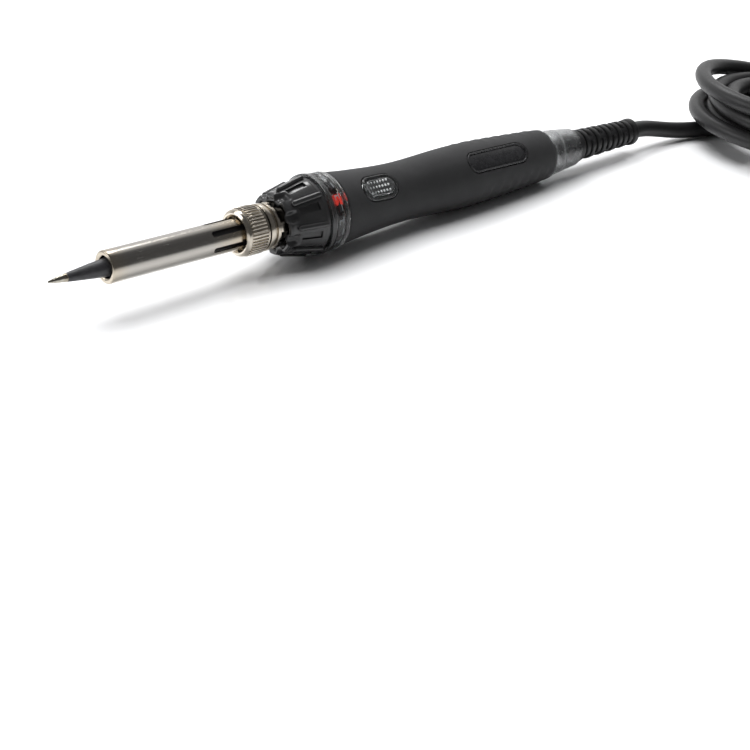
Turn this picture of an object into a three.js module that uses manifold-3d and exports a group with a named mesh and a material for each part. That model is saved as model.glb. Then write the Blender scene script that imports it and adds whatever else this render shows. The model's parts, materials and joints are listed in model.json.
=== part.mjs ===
// Adjustable-temperature soldering iron with its mains lead: metres of cord, a coil and a plug.
// Millimetres, +Z up. The iron lies on a table: its dial flange and its grip's bulge touch z = 0,
// the tip points to -X, and the origin is below the middle of the iron without its lead.
import * as THREE from 'three';
import { mergeVertices } from 'three/addons/utils/BufferGeometryUtils.js';
import Module from 'manifold-3d';

const wasm = await Module();
wasm.setup();

// ---- driving sizes: lengths along the iron, from the tip's point to the lead ----
const TIP_SHOWING = 15.7;
const SLEEVE_SHOWING = 39.5;
const NUT_LENGTH = 7.2;
const COLLAR_SHOWING = 5.0;
const KNOB_LENGTH = 11.8;
const DIAL_LENGTH = 4.7;
const HOUSING_RIM = 1.6;
const GRIP_LENGTH = 84;
const TAIL_LENGTH = 14;
const RELIEF_LENGTH = 28.7;

// ---- driving sizes: radii ----
const BARREL_R = 3.25;
const HEATER_R = 1.9;
const SLEEVE_R = 4.25;
const SLEEVE_WALL = 0.45;
const MOUTH_R = 2.85;
const NUT_R = 6.5;
const TUBE_R = 4.8;
const TUBE_WALL = 0.8;
const COLLAR_R = 6.3;
const KNOB_FRONT_R = 8.4;
const KNOB_REAR_R = 10.2;
const DIAL_R = 11.05;
const GRIP_FRONT_R = 10.3;
const GRIP_WAIST_R = 8.4;
const GRIP_BULGE_R = 9.12;
const GRIP_END_R = 7.6;
const TAIL_END_R = 5.75;
const RELIEF_FRONT_R = 5.0;
const RELIEF_END_R = 4.25;
const LEAD_R = 2.6;

// ---- driving sizes: walls, clearances and small features ----
const GAP = 0.3;
const SLIDE_FIT = 0.3;
const GRIP_WALL = 1.6;
const HOUSING_WALL = 1.4;
const SLOT_COUNT = 6;
const SLOT_WIDTH = 1.5;
const SLOT_SHOWING = 9.4;
const FLUTE_COUNT = 44;
const RIB_COUNT = 8;
const RIB_R = 0.8;
const FIRST_RIB_DEGREES = -9;
const BUTTON_LENGTH = 13.4;
const BUTTON_WIDTH = 7.8;
const BUTTON_FROM_GRIP = 13.6;
const BUTTON_TRAVEL = 0.6;
const BEZEL_WALL = 1.3;
const LABEL_LENGTH = 25;
const LABEL_WIDTH = 6.8;
const LABEL_FROM_GRIP = 59.5;
const BOARD_LENGTH = 62;
const BOARD_THICK = 1.2;
const BOARD_CLEARANCE = 0.85;
const ROLL_DEGREES = 48;

// ---- driving sizes: coil, lead and plug ----
const COIL_X = 158;
const COIL_Y = -28;
const COIL_TURN_R = 28.6;
const COIL_COLUMNS = 3;
const COIL_LAYERS = 3;
const COIL_LEAN_DEGREES = 5.6;
const COIL_LEAN_TOWARDS = 137;
const TIE_DEGREES = 225;
const PLUG_LENGTH = 24;
const PLUG_WIDTH = 23;
const PLUG_HEIGHT = 15;
const PLUG_NECK = 10;
const PLUG_TURN_DEGREES = -90;
const BLADE_LENGTH = 16;
const BLADE_WIDTH = 6.3;
const BLADE_THICK = 1.5;
const BLADE_SPACING = 12.7;

// ---- stations along the iron, worked out from the lengths ----
const X_MOUTH = TIP_SHOWING;
const X_NUT = X_MOUTH + SLEEVE_SHOWING;
const X_COLLAR = X_NUT + NUT_LENGTH;
const X_KNOB = X_COLLAR + COLLAR_SHOWING;
const X_DIAL = X_KNOB + KNOB_LENGTH;
const X_RIM = X_DIAL + DIAL_LENGTH + GAP;
const X_GRIP = X_RIM + HOUSING_RIM;
const X_TAIL = X_GRIP + GRIP_LENGTH;
const X_RELIEF = X_TAIL + TAIL_LENGTH;
const X_LEAD = X_RELIEF + RELIEF_LENGTH;
const X_SEAM = X_TAIL + 0.4 * TAIL_LENGTH;
const SIDES = 30;

// ---- shape helpers: every round piece is turned about the iron's own X axis ----
function rad(degrees) {
  return degrees * Math.PI / 180;
}

function signedArea(loop) {
  let sum = 0;
  loop.forEach(([x0, r0], i) => {
    const [x1, r1] = loop[(i + 1) % loop.length];
    sum += x0 * r1 - x1 * r0;
  });
  return sum / 2;
}

// a closed loop of [x, radius] points, or an open one that starts and ends on the axis
function turned(points, sides = SIDES) {
  const open = points[0][1] === 0 && points.at(-1)[1] === 0;
  const ordered = signedArea(points) > 0 ? [...points].reverse() : points;
  const profile = ordered.map(([x, r]) => new THREE.Vector2(r, x));
  if (!open) profile.push(profile[0].clone());
  return new THREE.LatheGeometry(profile, sides).rotateZ(-Math.PI / 2);
}

function tube(x0, x1, inner, outer, sides = SIDES) {
  return turned([[x0, inner], [x0, outer], [x1, outer], [x1, inner]], sides);
}

function rod(x0, x1, radius, sides = SIDES) {
  return turned([[x0, 0], [x0, radius], [x1, radius], [x1, 0]], sides);
}

function box(x0, x1, y0, y1, z0, z1) {
  const shape = new THREE.BoxGeometry(x1 - x0, y1 - y0, z1 - z0);
  return shape.translate((x0 + x1) / 2, (y0 + y1) / 2, (z0 + z1) / 2);
}

function solid(geometry) {
  const plain = geometry.clone();
  plain.deleteAttribute('normal');
  plain.deleteAttribute('uv');
  const merged = mergeVertices(plain, 1e-5);
  return new wasm.Manifold(new wasm.Mesh({
    numProp: 3,
    vertProperties: new Float32Array(merged.attributes.position.array),
    triVerts: new Uint32Array(merged.index.array),
  }));
}

function toGeometry(body) {
  const mesh = body.getMesh();
  const geometry = new THREE.BufferGeometry();
  geometry.setAttribute('position', new THREE.BufferAttribute(mesh.vertProperties, 3));
  geometry.setIndex(new THREE.BufferAttribute(mesh.triVerts, 1));
  return geometry;
}

function cut(base, ...tools) {
  return toGeometry(tools.reduce((body, tool) => body.subtract(solid(tool)), solid(base)));
}

function join(base, ...others) {
  return toGeometry(others.reduce((body, other) => body.add(solid(other)), solid(base)));
}

function common(a, b) {
  return toGeometry(solid(a).intersect(solid(b)));
}

function around(count, make, startDegrees = 0) {
  return Array.from({ length: count }, (_, i) => {
    return make().rotateX(rad(startDegrees + i * 360 / count));
  });
}

// a flat oblong with round ends, standing from z0 to z1 and centred on x
function oblong(x, length, width, z0, z1, arcSteps = 5) {
  const half = length / 2 - width / 2;
  const outline = new THREE.Shape();
  outline.absarc(half, 0, width / 2, -Math.PI / 2, Math.PI / 2, false);
  outline.absarc(-half, 0, width / 2, Math.PI / 2, Math.PI * 1.5, false);
  const block = new THREE.ExtrudeGeometry(outline, {
    depth: z1 - z0, bevelEnabled: false, curveSegments: arcSteps,
  });
  return block.translate(x, 0, z0);
}

// ---- the grip's outline: front flare, waist, bulge and rear end ----
const GRIP_OUTLINE = new THREE.SplineCurve([
  new THREE.Vector2(X_GRIP, GRIP_FRONT_R),
  new THREE.Vector2(X_GRIP + 0.12 * GRIP_LENGTH, 0.5 * (GRIP_FRONT_R + GRIP_WAIST_R) - 0.1),
  new THREE.Vector2(X_GRIP + 0.31 * GRIP_LENGTH, GRIP_WAIST_R),
  new THREE.Vector2(X_GRIP + 0.62 * GRIP_LENGTH, GRIP_BULGE_R),
  new THREE.Vector2(X_TAIL, GRIP_END_R),
]);

function gripRadius(x) {
  let low = 0;
  let high = 1;
  for (let i = 0; i < 30; i += 1) {
    const middle = (low + high) / 2;
    if (GRIP_OUTLINE.getPoint(middle).x < x) low = middle;
    else high = middle;
  }
  return GRIP_OUTLINE.getPoint(low).y;
}

// a shell that follows the grip's outline between two depths below its surface
function gripShell(x0, x1, outerDepth, innerDepth, steps = 12) {
  const stations = Array.from({ length: steps + 1 }, (_, i) => x0 + (x1 - x0) * i / steps);
  const outer = stations.map((x) => [x, gripRadius(x) - outerDepth]);
  const inner = stations.map((x) => [x, gripRadius(x) - innerDepth]).reverse();
  return turned([...outer, ...inner]);
}

const HOUSING_DEPTH = GRIP_WALL + GAP;
const HOUSING_INSIDE = HOUSING_DEPTH + HOUSING_WALL;
const X_BUTTON = X_GRIP + BUTTON_FROM_GRIP;
const X_LABEL = X_GRIP + LABEL_FROM_GRIP;

// ---- hot end ----
function solderingTip() {
  const rear = X_NUT + 3.3;
  const shoulder = X_MOUTH + 5;
  const conePoint = 0.35;
  const bore = HEATER_R + 0.25;
  return turned([
    [0, 0], [0.25, conePoint], [X_MOUTH, MOUTH_R - 0.55], [shoulder, BARREL_R],
    [rear - 1, BARREL_R], [rear, BARREL_R - 0.2], [rear, bore], [shoulder + 2, bore],
    [shoulder + 1, 0],
  ]);
}

function tipSleeve() {
  const inside = SLEEVE_R - SLEEVE_WALL;
  const rear = X_NUT + 3.4;
  const flange = SLEEVE_R + 0.85;
  const lip = 0.9;
  const shell = turned([
    [X_MOUTH, MOUTH_R], [X_MOUTH, SLEEVE_R - lip], [X_MOUTH + 0.3 * lip, SLEEVE_R - 0.3 * lip],
    [X_MOUTH + lip, SLEEVE_R], [rear - 1, SLEEVE_R], [rear - 1, flange], [rear, flange],
    [rear, inside], [X_MOUTH + lip, inside], [X_MOUTH + 0.5, MOUTH_R],
  ]);
  const start = X_NUT - SLOT_SHOWING;
  const end = rear - 2;
  const slot = () => oblong((start + end) / 2, end - start, SLOT_WIDTH, inside - 1.2, SLEEVE_R + 2, 3);
  return cut(shell, ...around(SLOT_COUNT, slot));
}

function knurledNut() {
  const outline = new THREE.Shape();
  const depth = 0.32;
  for (let i = 0; i < 2 * FLUTE_COUNT; i += 1) {
    const angle = Math.PI * i / FLUTE_COUNT;
    const radius = i % 2 ? NUT_R - depth : NUT_R;
    const x = radius * Math.cos(angle);
    const y = radius * Math.sin(angle);
    if (i) outline.lineTo(x, y);
    else outline.moveTo(x, y);
  }
  const front = 1.3;
  const hole = SLEEVE_R + SLIDE_FIT;
  outline.holes.push(new THREE.Path().absarc(0, 0, hole, 0, 2 * Math.PI, true));
  const fluted = new THREE.ExtrudeGeometry(outline, {
    depth: NUT_LENGTH - front, bevelEnabled: false, curveSegments: 20,
  }).rotateY(Math.PI / 2).translate(X_NUT + front, 0, 0);
  const rim = turned([
    [X_NUT, hole], [X_NUT, NUT_R - 0.9], [X_NUT + 0.4, NUT_R - 0.4],
    [X_NUT + front + 0.1, NUT_R - 0.35], [X_NUT + front + 0.1, hole],
  ]);
  const flangeRoom = SLEEVE_R + 0.85 + SLIDE_FIT;
  const bore = rod(X_NUT + 2.1, X_COLLAR + 1, flangeRoom, SIDES);
  return cut(join(fluted, rim), bore);
}

function threadedNipple() {
  const bore = TUBE_R - TUBE_WALL;
  const spigot = SLEEVE_R + 0.85;
  const rear = X_RIM + 4.5;
  const front = X_NUT + 3.7;
  const collar = X_COLLAR + GAP;
  const base = turned([
    [front, bore], [front, spigot - 0.4], [front + 0.4, spigot - GAP], [collar, spigot - GAP],
    [collar, COLLAR_R], [collar + 1.3, COLLAR_R], [collar + 1.5, COLLAR_R - 1],
    [collar + 2.2, COLLAR_R - 1], [collar + 2.4, COLLAR_R - 0.3], [collar + 3.4, COLLAR_R - 0.3],
    [collar + 3.6, TUBE_R], [rear, TUBE_R], [rear, bore],
  ]);
  const lug = () => box(collar + 3.2, X_KNOB + 1, -1.1, 1.1, TUBE_R - 0.4, COLLAR_R - 0.2);
  return join(base, ...around(4, lug, 30));
}

function ceramicHeater() {
  return rod(X_MOUTH + 8, X_KNOB + 2.6, HEATER_R, 20);
}

function heaterBase() {
  const base = X_KNOB + 3;
  const outside = TUBE_R - TUBE_WALL - SLIDE_FIT;
  const stepped = turned([
    [base, 0], [base, outside], [base + 9, outside], [base + 9, outside - 1], [base + 12, outside - 1],
    [base + 12, 0],
  ], 24);
  const wire = () => rod(base - 1, base + 13, 0.35, 8).translate(0, 0, 1.6);
  return cut(stepped, ...around(4, wire));
}

function heaterSpring() {
  const outside = TUBE_R - TUBE_WALL - 0.2;
  return tube(X_KNOB + 15.3, X_KNOB + 20.6, outside - 0.8, outside, 20);
}

// ---- temperature control ----
const KNOB_CAVITY_R = KNOB_REAR_R - 2;

function knobLand(x) {
  const t = (x - X_KNOB - 2.4) / (KNOB_LENGTH - 4);
  return KNOB_FRONT_R + (KNOB_REAR_R - KNOB_FRONT_R) * Math.min(Math.max(t, 0), 1);
}

function temperatureKnob() {
  const well = COLLAR_R + 0.6;
  const wall = X_KNOB + 4.6;
  const bearing = TUBE_R + SLIDE_FIT;
  const body = turned([
    [X_KNOB, well], [X_KNOB, KNOB_FRONT_R - 1], [X_KNOB + 0.35, KNOB_FRONT_R - 0.35],
    [X_KNOB + 1.1, KNOB_FRONT_R], [X_KNOB + 2.4, knobLand(X_KNOB + 2.4)],
    [X_DIAL - 1.6, KNOB_REAR_R], [X_DIAL, KNOB_REAR_R], [X_DIAL, KNOB_CAVITY_R],
    [wall + 1, KNOB_CAVITY_R - 1], [wall, bearing + 1], [wall, bearing], [X_KNOB + 2, bearing],
    [X_KNOB + 2, well],
  ], 40);
  const start = X_KNOB + 2.2;
  const end = X_DIAL - 1.3;
  const rise = Math.atan((knobLand(end) - knobLand(start)) / (end - start));
  const rib = () => rod(start, end, RIB_R, 8).translate(-start, 0, 0).rotateY(-rise)
    .translate(start, 0, knobLand(start));
  const recess = () => box(start + 0.6, end - 1, -1, 1, -0.7, 3).translate(-start, 0, 0)
    .rotateY(-rise).translate(start, 0, knobLand(start));
  const pitch = 360 / RIB_COUNT;
  const ribbed = join(body, ...around(RIB_COUNT, rib, FIRST_RIB_DEGREES));
  return cut(ribbed, ...around(RIB_COUNT, recess, FIRST_RIB_DEGREES + 0.36 * pitch));
}

function dialRing() {
  const inner = KNOB_CAVITY_R + 0.2;
  const band = DIAL_R - 0.35;
  const groove = DIAL_R - 0.75;
  const start = X_DIAL + GAP;
  const end = X_DIAL + DIAL_LENGTH;
  return turned([
    [start, inner], [start, DIAL_R], [start + 1.4, DIAL_R], [start + 1.6, groove],
    [start + 1.9, groove], [start + 2.0, band], [end - 0.3, band], [end, band - 0.3], [end, inner],
  ], 40);
}

function wiperRing() {
  const x = X_KNOB + 6.2;
  return tube(x, x + 0.8, TUBE_R + SLIDE_FIT, KNOB_CAVITY_R - 1.5, 32);
}

function trackDisc() {
  const x = X_KNOB + 8;
  const flat = tube(x, x + 1, TUBE_R + 0.25, KNOB_CAVITY_R - 0.8, 32);
  return cut(flat, box(x - 1, x + 2, -1.2, 1.2, KNOB_CAVITY_R - 2.2, KNOB_CAVITY_R));
}

function indicatorLed() {
  const height = KNOB_CAVITY_R - 1.9;
  const dome = turned([
    [X_DIAL + 1.2, 0], [X_DIAL + 1.4, 0.8], [X_DIAL + 2.1, 1.3], [X_DIAL + 2.8, 1.4],
    [X_RIM + 2.2, 1.4], [X_RIM + 2.2, 0],
  ], 16);
  return dome.translate(0, 0, height);
}

// ---- handle ----
function ledHole() {
  return rod(X_RIM - 1, X_RIM + 3, 1.4 + GAP, 16).translate(0, 0, KNOB_CAVITY_R - 1.9);
}

function innerHousing() {
  const end = X_SEAM - 0.15;
  const rearStep = gripRadius(X_TAIL) - HOUSING_DEPTH;
  const steps = 7;
  const outline = Array.from({ length: steps + 1 }, (_, i) => {
    const x = X_GRIP + GAP + (X_TAIL - X_GRIP - 2 * GAP) * i / steps;
    return [x, gripRadius(x) - HOUSING_DEPTH];
  });
  const inside = outline.map(([x, r]) => [x, r - HOUSING_WALL]).reverse();
  const tailFront = gripRadius(X_TAIL) - 0.35;
  const bulkhead = 1.3;
  const shell = turned([
    [X_RIM, TUBE_R + GAP], [X_RIM, GRIP_FRONT_R + 0.1], [X_RIM + 0.25, GRIP_FRONT_R + 0.35],
    [X_GRIP, GRIP_FRONT_R + 0.35], ...outline, [X_TAIL + GAP, rearStep], [X_TAIL + GAP, tailFront],
    [end, tailRadius(end)], [end, rearStep - HOUSING_WALL], ...inside,
    [X_RIM + bulkhead, inside.at(-1)[1]], [X_RIM + bulkhead, TUBE_R + GAP],
  ]);
  const stemHole = rod(0, 12, 1.5, 16).rotateY(-Math.PI / 2).translate(X_BUTTON, 0, 0);
  return cut(shell, ledHole(), stemHole);
}

function tailRadius(x) {
  const front = gripRadius(X_TAIL) - 0.35;
  return front + (TAIL_END_R - front) * (x - X_TAIL) / TAIL_LENGTH;
}

function tailCap() {
  const start = X_SEAM + 0.15;
  const inside = gripRadius(X_TAIL) - HOUSING_DEPTH - HOUSING_WALL;
  const end = X_RELIEF;
  return turned([
    [start, inside], [start, tailRadius(start)], [end - 0.8, tailRadius(end - 0.8)],
    [end, TAIL_END_R - 0.7], [end, RELIEF_FRONT_R - 0.7], [end - 1.6, RELIEF_FRONT_R - 0.7],
    [end - 2.6, inside],
  ]);
}

function rubberGrip() {
  const sleeve = gripShell(X_GRIP + GAP, X_TAIL, 0, GRIP_WALL, 12);
  const buttonHole = oblong(X_BUTTON, BUTTON_LENGTH, BUTTON_WIDTH, 0, 14);
  const labelHole = oblong(X_LABEL, LABEL_LENGTH, LABEL_WIDTH, 0, 14);
  return cut(sleeve, buttonHole, labelHole);
}

// a patch of the grip's skin, cut out as an oblong
function skinPatch(x, length, width, proud, depth) {
  const reach = length / 2 + 2;
  return common(oblong(x, length, width, 0, 14), gripShell(x - reach, x + reach, -proud, depth, 6));
}

function buttonBezel() {
  const outer = skinPatch(X_BUTTON, BUTTON_LENGTH - 2 * GAP, BUTTON_WIDTH - 2 * GAP, 0.25, GRIP_WALL);
  const hole = oblong(X_BUTTON, BUTTON_LENGTH - 2 * BEZEL_WALL, BUTTON_WIDTH - 2 * BEZEL_WALL, 0, 14);
  return cut(outer, hole);
}

function pushButton() {
  const inset = 2 * (BEZEL_WALL + GAP);
  const pad = skinPatch(X_BUTTON, BUTTON_LENGTH - inset, BUTTON_WIDTH - inset, 0.45,
    GRIP_WALL - BUTTON_TRAVEL - GAP);
  const stem = rod(SWITCH_TOP + BUTTON_TRAVEL + 0.2, gripRadius(X_BUTTON) - 0.2, 1.1, 16)
    .rotateY(-Math.PI / 2).translate(X_BUTTON, 0, 0);
  return join(pad, stem);
}

function labelWindow() {
  return skinPatch(X_LABEL, LABEL_LENGTH - 2 * GAP, LABEL_WIDTH - 2 * GAP, -0.35, GRIP_WALL);
}

// ---- electronics ----
const BOARD_TOP = BOARD_THICK;
const WAIST_INSIDE = GRIP_WAIST_R - HOUSING_INSIDE;
const BOARD_WIDTH = 2 * (Math.sqrt(WAIST_INSIDE ** 2 - BOARD_THICK ** 2) - BOARD_CLEARANCE);
const X_BOARD = X_GRIP + 3.4;
const SWITCH_TOP = BOARD_TOP + 2.5;

function onBoard(x, length, width, height) {
  const z = BOARD_TOP + GAP;
  return box(x, x + length, -width / 2, width / 2, z, z + height);
}

// how tall a part of that half-width may be on the board, below the housing's inside
function headroom(x, halfWidth) {
  const inside = gripRadius(x) - HOUSING_INSIDE;
  return Math.sqrt(inside ** 2 - halfWidth ** 2) - BOARD_TOP - 2 * GAP;
}

function circuitBoard() {
  return box(X_BOARD, X_BOARD + BOARD_LENGTH, -BOARD_WIDTH / 2, BOARD_WIDTH / 2, 0, BOARD_TOP);
}

function tactSwitch() {
  return onBoard(X_BUTTON - 2.2, 4.4, 4.4, SWITCH_TOP - BOARD_TOP - GAP);
}

function triac() {
  const x = X_BOARD + 28;
  return onBoard(x, 6.4, 6, 0.85 * headroom(x, 3));
}

function controlChip() {
  const x = X_BOARD + 17.5;
  return onBoard(x, 5, 4, 0.55 * headroom(x, 2));
}

function filmCapacitor() {
  const x = X_BOARD + 40;
  return onBoard(x, 11, 5, headroom(x, 2.5));
}

function boardResistor() {
  return rod(0, 7, 1.1, 16).translate(X_BOARD + 53, 0, BOARD_TOP + GAP + 1.1);
}

// ---- lead end of the handle ----
const TAIL_BORE_R = gripRadius(X_TAIL) - HOUSING_INSIDE;
const CLAMP_HALF_WIDTH = 0.72 * TAIL_BORE_R;
const CLAMP_HALF_HEIGHT = 0.54 * TAIL_BORE_R;
const CLAMP_LENGTH = 4.5;
const CLAMP_SCREW_Y = 0.52 * TAIL_BORE_R;
const X_CLAMP = X_SEAM + 1.5;

function clampScrewRod(z0, z1, radius, y) {
  return rod(z0, z1, radius, 12).rotateY(-Math.PI / 2).translate(X_CLAMP + CLAMP_LENGTH / 2, y, 0);
}

function cordClamp() {
  const bar = box(X_CLAMP, X_CLAMP + CLAMP_LENGTH, -CLAMP_HALF_WIDTH, CLAMP_HALF_WIDTH,
    -CLAMP_HALF_HEIGHT, CLAMP_HALF_HEIGHT);
  const channel = rod(X_CLAMP - 1, X_CLAMP + CLAMP_LENGTH + 1, 0.5 * LEAD_R, 16);
  const holes = [-1, 1].map((side) => clampScrewRod(-5, 5, 0.4 + SLIDE_FIT, side * CLAMP_SCREW_Y));
  return cut(bar, channel, ...holes);
}

function clampScrew(side) {
  const y = side * CLAMP_SCREW_Y;
  const under = CLAMP_HALF_HEIGHT + 0.05;
  return join(clampScrewRod(-CLAMP_HALF_HEIGHT, under + 0.1, 0.4, y),
    clampScrewRod(under, under + 0.5, 0.75, y));
}

function strainRelief() {
  const plugFront = X_RELIEF - 1.3;
  const neck = RELIEF_FRONT_R - 1;
  const ribs = 8;
  const first = X_RELIEF + GAP;
  const pitch = (RELIEF_LENGTH - 3.2 - GAP) / (ribs + 0.6);
  const profile = [
    [plugFront, LEAD_R + GAP], [plugFront, neck], [first, neck], [first, RELIEF_FRONT_R],
    [first + 1.8, RELIEF_FRONT_R],
  ];
  for (let i = 0; i < ribs; i += 1) {
    const x = first + 1.8 + i * pitch;
    const radius = RELIEF_FRONT_R + (RELIEF_END_R - RELIEF_FRONT_R) * (i + 1) / ribs;
    profile.push([x + 0.05, radius - 0.8], [x + 0.4 * pitch, radius - 0.8], [x + 0.45 * pitch, radius],
      [x + 0.95 * pitch, radius]);
  }
  profile.push([X_LEAD - 1.6, RELIEF_END_R - 0.8], [X_LEAD - 1.4, RELIEF_END_R], [X_LEAD, RELIEF_END_R],
    [X_LEAD, LEAD_R + GAP]);
  return turned(profile, 18);
}

// ---- resting attitude ----
const BULGE_X = X_GRIP + 0.66 * GRIP_LENGTH;
const DIAL_FOOT_X = X_DIAL + GAP + 1.4;
const REST_TILT = Math.atan((DIAL_R - gripRadius(BULGE_X)) / (BULGE_X - DIAL_FOOT_X));

function depthBelowAxis(x, radius) {
  return x * Math.sin(REST_TILT) + radius * Math.cos(REST_TILT);
}

const gripStations = Array.from({ length: 61 }, (_, i) => X_GRIP + GRIP_LENGTH * i / 60);
const REST_HEIGHT = Math.max(depthBelowAxis(DIAL_FOOT_X, DIAL_R),
  ...gripStations.map((x) => depthBelowAxis(x, gripRadius(x))));
const APEX_X = -(X_LEAD * Math.cos(REST_TILT) + RELIEF_END_R * Math.sin(REST_TILT)) / 2;

function onAxis(x, drop = 0) {
  return new THREE.Vector3(
    APEX_X + x * Math.cos(REST_TILT), 0, REST_HEIGHT - x * Math.sin(REST_TILT) - drop,
  );
}

// ---- lead, coil and plug ----
const COIL_INNER_R = COIL_TURN_R - COIL_COLUMNS * LEAD_R;
const COIL_OUTER_R = COIL_TURN_R + COIL_COLUMNS * LEAD_R;
const LEAD_Z = LEAD_R + 0.1;

// the stretch that isn't coiled: out of the relief, down to the table, below the coil's raised side
const LEAD_ROUTE = [
  onAxis(X_LEAD + GAP),
  onAxis(X_LEAD + 6, 0.1),
  new THREE.Vector3(118, -0.7, 5.2),
  new THREE.Vector3(124, -1.6, 3.9),
  new THREE.Vector3(130, -3.2, 3.0),
  new THREE.Vector3(136, -5.4, LEAD_Z),
  new THREE.Vector3(142, -8, LEAD_Z),
  new THREE.Vector3(148, -11, 2.75),
  new THREE.Vector3(154, -13.9, 3.4),
  new THREE.Vector3(160, -17, 5.3),
  new THREE.Vector3(165.5, -21.2, 8.2),
  new THREE.Vector3(169.8, -26.5, 11.3),
  new THREE.Vector3(172.2, -32.2, 13.6),
];

// the stretch from the coil's outer turn, round behind the coil, to the plug
const PLUG_ROUTE = [
  new THREE.Vector3(178.5, 6.7, 5.6),
  new THREE.Vector3(183, 7.0, 4.4),
  new THREE.Vector3(187, 7.0, 3.5),
  new THREE.Vector3(193.5, 5.97, LEAD_Z),
  new THREE.Vector3(199.3, 3.0, LEAD_Z),
  new THREE.Vector3(204, -1.66, LEAD_Z),
  new THREE.Vector3(207, -7.5, 3.1),
  new THREE.Vector3(208, -14, 4.2),
];

function leadTube(route, step) {
  const path = new THREE.CatmullRomCurve3(route, false, 'centripetal');
  const section = new THREE.Shape().absarc(0, 0, LEAD_R, 0, 2 * Math.PI);
  return new THREE.ExtrudeGeometry(section, {
    extrudePath: path, steps: Math.ceil(path.getLength() / step), curveSegments: 5, bevelEnabled: false,
  });
}

function leadCoil() {
  const height = 2 * LEAD_R * COIL_LAYERS;
  const bevel = 0.45 * LEAD_R;
  const profile = [
    [0, COIL_INNER_R + bevel], [0, COIL_OUTER_R - bevel], [bevel, COIL_OUTER_R],
    [height - bevel, COIL_OUTER_R], [height, COIL_OUTER_R - bevel], [height, COIL_INNER_R + bevel],
    [height - bevel, COIL_INNER_R], [bevel, COIL_INNER_R],
  ];
  return turned(profile, 32).rotateY(-Math.PI / 2);
}

function leadTie() {
  const height = 2 * LEAD_R * COIL_LAYERS;
  const wall = 0.9;
  const clear = 0.4;
  const outer = box(COIL_INNER_R - clear - wall, COIL_OUTER_R + clear + wall, -2, 2,
    -clear - wall, height + clear + wall);
  const inner = box(COIL_INNER_R - clear, COIL_OUTER_R + clear, -3, 3, -clear, height + clear);
  return cut(outer, inner).rotateZ(rad(TIE_DEGREES));
}

function plugBody() {
  const z = PLUG_HEIGHT / 2 + 0.1;
  const neck = turned([
    [0, 0], [0, LEAD_R + 0.9], [PLUG_NECK + 2, LEAD_R + 2.8], [PLUG_NECK + 2, 0],
  ], 20);
  neck.rotateY(-Math.atan((z - PLUG_ROUTE.at(-1).z) / PLUG_NECK));
  neck.translate(0, 0, PLUG_ROUTE.at(-1).z);
  const outline = new THREE.Shape();
  const corner = 4;
  outline.moveTo(0, -PLUG_WIDTH / 2 + corner);
  outline.lineTo(0, PLUG_WIDTH / 2 - corner);
  outline.lineTo(corner * 1.5, PLUG_WIDTH / 2);
  outline.lineTo(PLUG_LENGTH, PLUG_WIDTH / 2);
  outline.lineTo(PLUG_LENGTH, -PLUG_WIDTH / 2);
  outline.lineTo(corner * 1.5, -PLUG_WIDTH / 2);
  const body = new THREE.ExtrudeGeometry(outline, { depth: PLUG_HEIGHT, bevelEnabled: false });
  body.translate(PLUG_NECK, 0, 0.1);
  const slots = [-1, 1].map((side) => {
    const y = side * BLADE_SPACING / 2;
    const face = PLUG_NECK + PLUG_LENGTH;
    return box(face - 8, face + 1, y - BLADE_THICK / 2 - GAP, y + BLADE_THICK / 2 + GAP,
      z - BLADE_WIDTH / 2 - GAP, z + BLADE_WIDTH / 2 + GAP);
  });
  return cut(join(body, neck), ...slots);
}

function plugBlade(side) {
  const z = PLUG_HEIGHT / 2 + 0.1;
  const y = side * BLADE_SPACING / 2;
  const face = PLUG_NECK + PLUG_LENGTH;
  return box(face - 8 + GAP, face + BLADE_LENGTH, y - BLADE_THICK / 2, y + BLADE_THICK / 2,
    z - BLADE_WIDTH / 2, z + BLADE_WIDTH / 2);
}

// ---- finishes and assembly ----
const STEEL = { color: 0xb9bbbd, roughness: 0.25, metalness: 1 };
const NICKEL = { color: 0xd2cbbd, roughness: 0.18, metalness: 1 };
const TIP_PLATE = { color: 0x2c2b2d, roughness: 0.5, metalness: 0.6 };
const BLACK_PLASTIC = { color: 0x131316, roughness: 0.25, metalness: 0 };
const CLEAR = { color: 0xdfe4e6, roughness: 0.08, metalness: 0 };
const RUBBER = { color: 0x2b2b2d, roughness: 0.75, metalness: 0 };
const RED_LENS = { color: 0xd8202a, roughness: 0.15, metalness: 0 };
const CERAMIC = { color: 0xece7dc, roughness: 0.6, metalness: 0 };
const BOARD = { color: 0x1f6a3a, roughness: 0.5, metalness: 0 };
const CHIP = { color: 0x1b1b1d, roughness: 0.4, metalness: 0 };
const FILM = { color: 0xb5452f, roughness: 0.4, metalness: 0 };
const CORD = { color: 0x232324, roughness: 0.5, metalness: 0 };

const model = new THREE.Group();
const iron = new THREE.Group();
const rolled = new THREE.Group();
const coil = new THREE.Group();
const plug = new THREE.Group();
model.add(iron, coil, plug);
iron.add(rolled);
iron.position.set(APEX_X, 0, REST_HEIGHT);
iron.rotation.y = REST_TILT;
rolled.rotation.x = rad(ROLL_DEGREES);

function piece(parent, name, geometry, finish) {
  const mesh = new THREE.Mesh(geometry, new THREE.MeshStandardMaterial(finish));
  mesh.name = name;
  parent.add(mesh);
}

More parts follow.
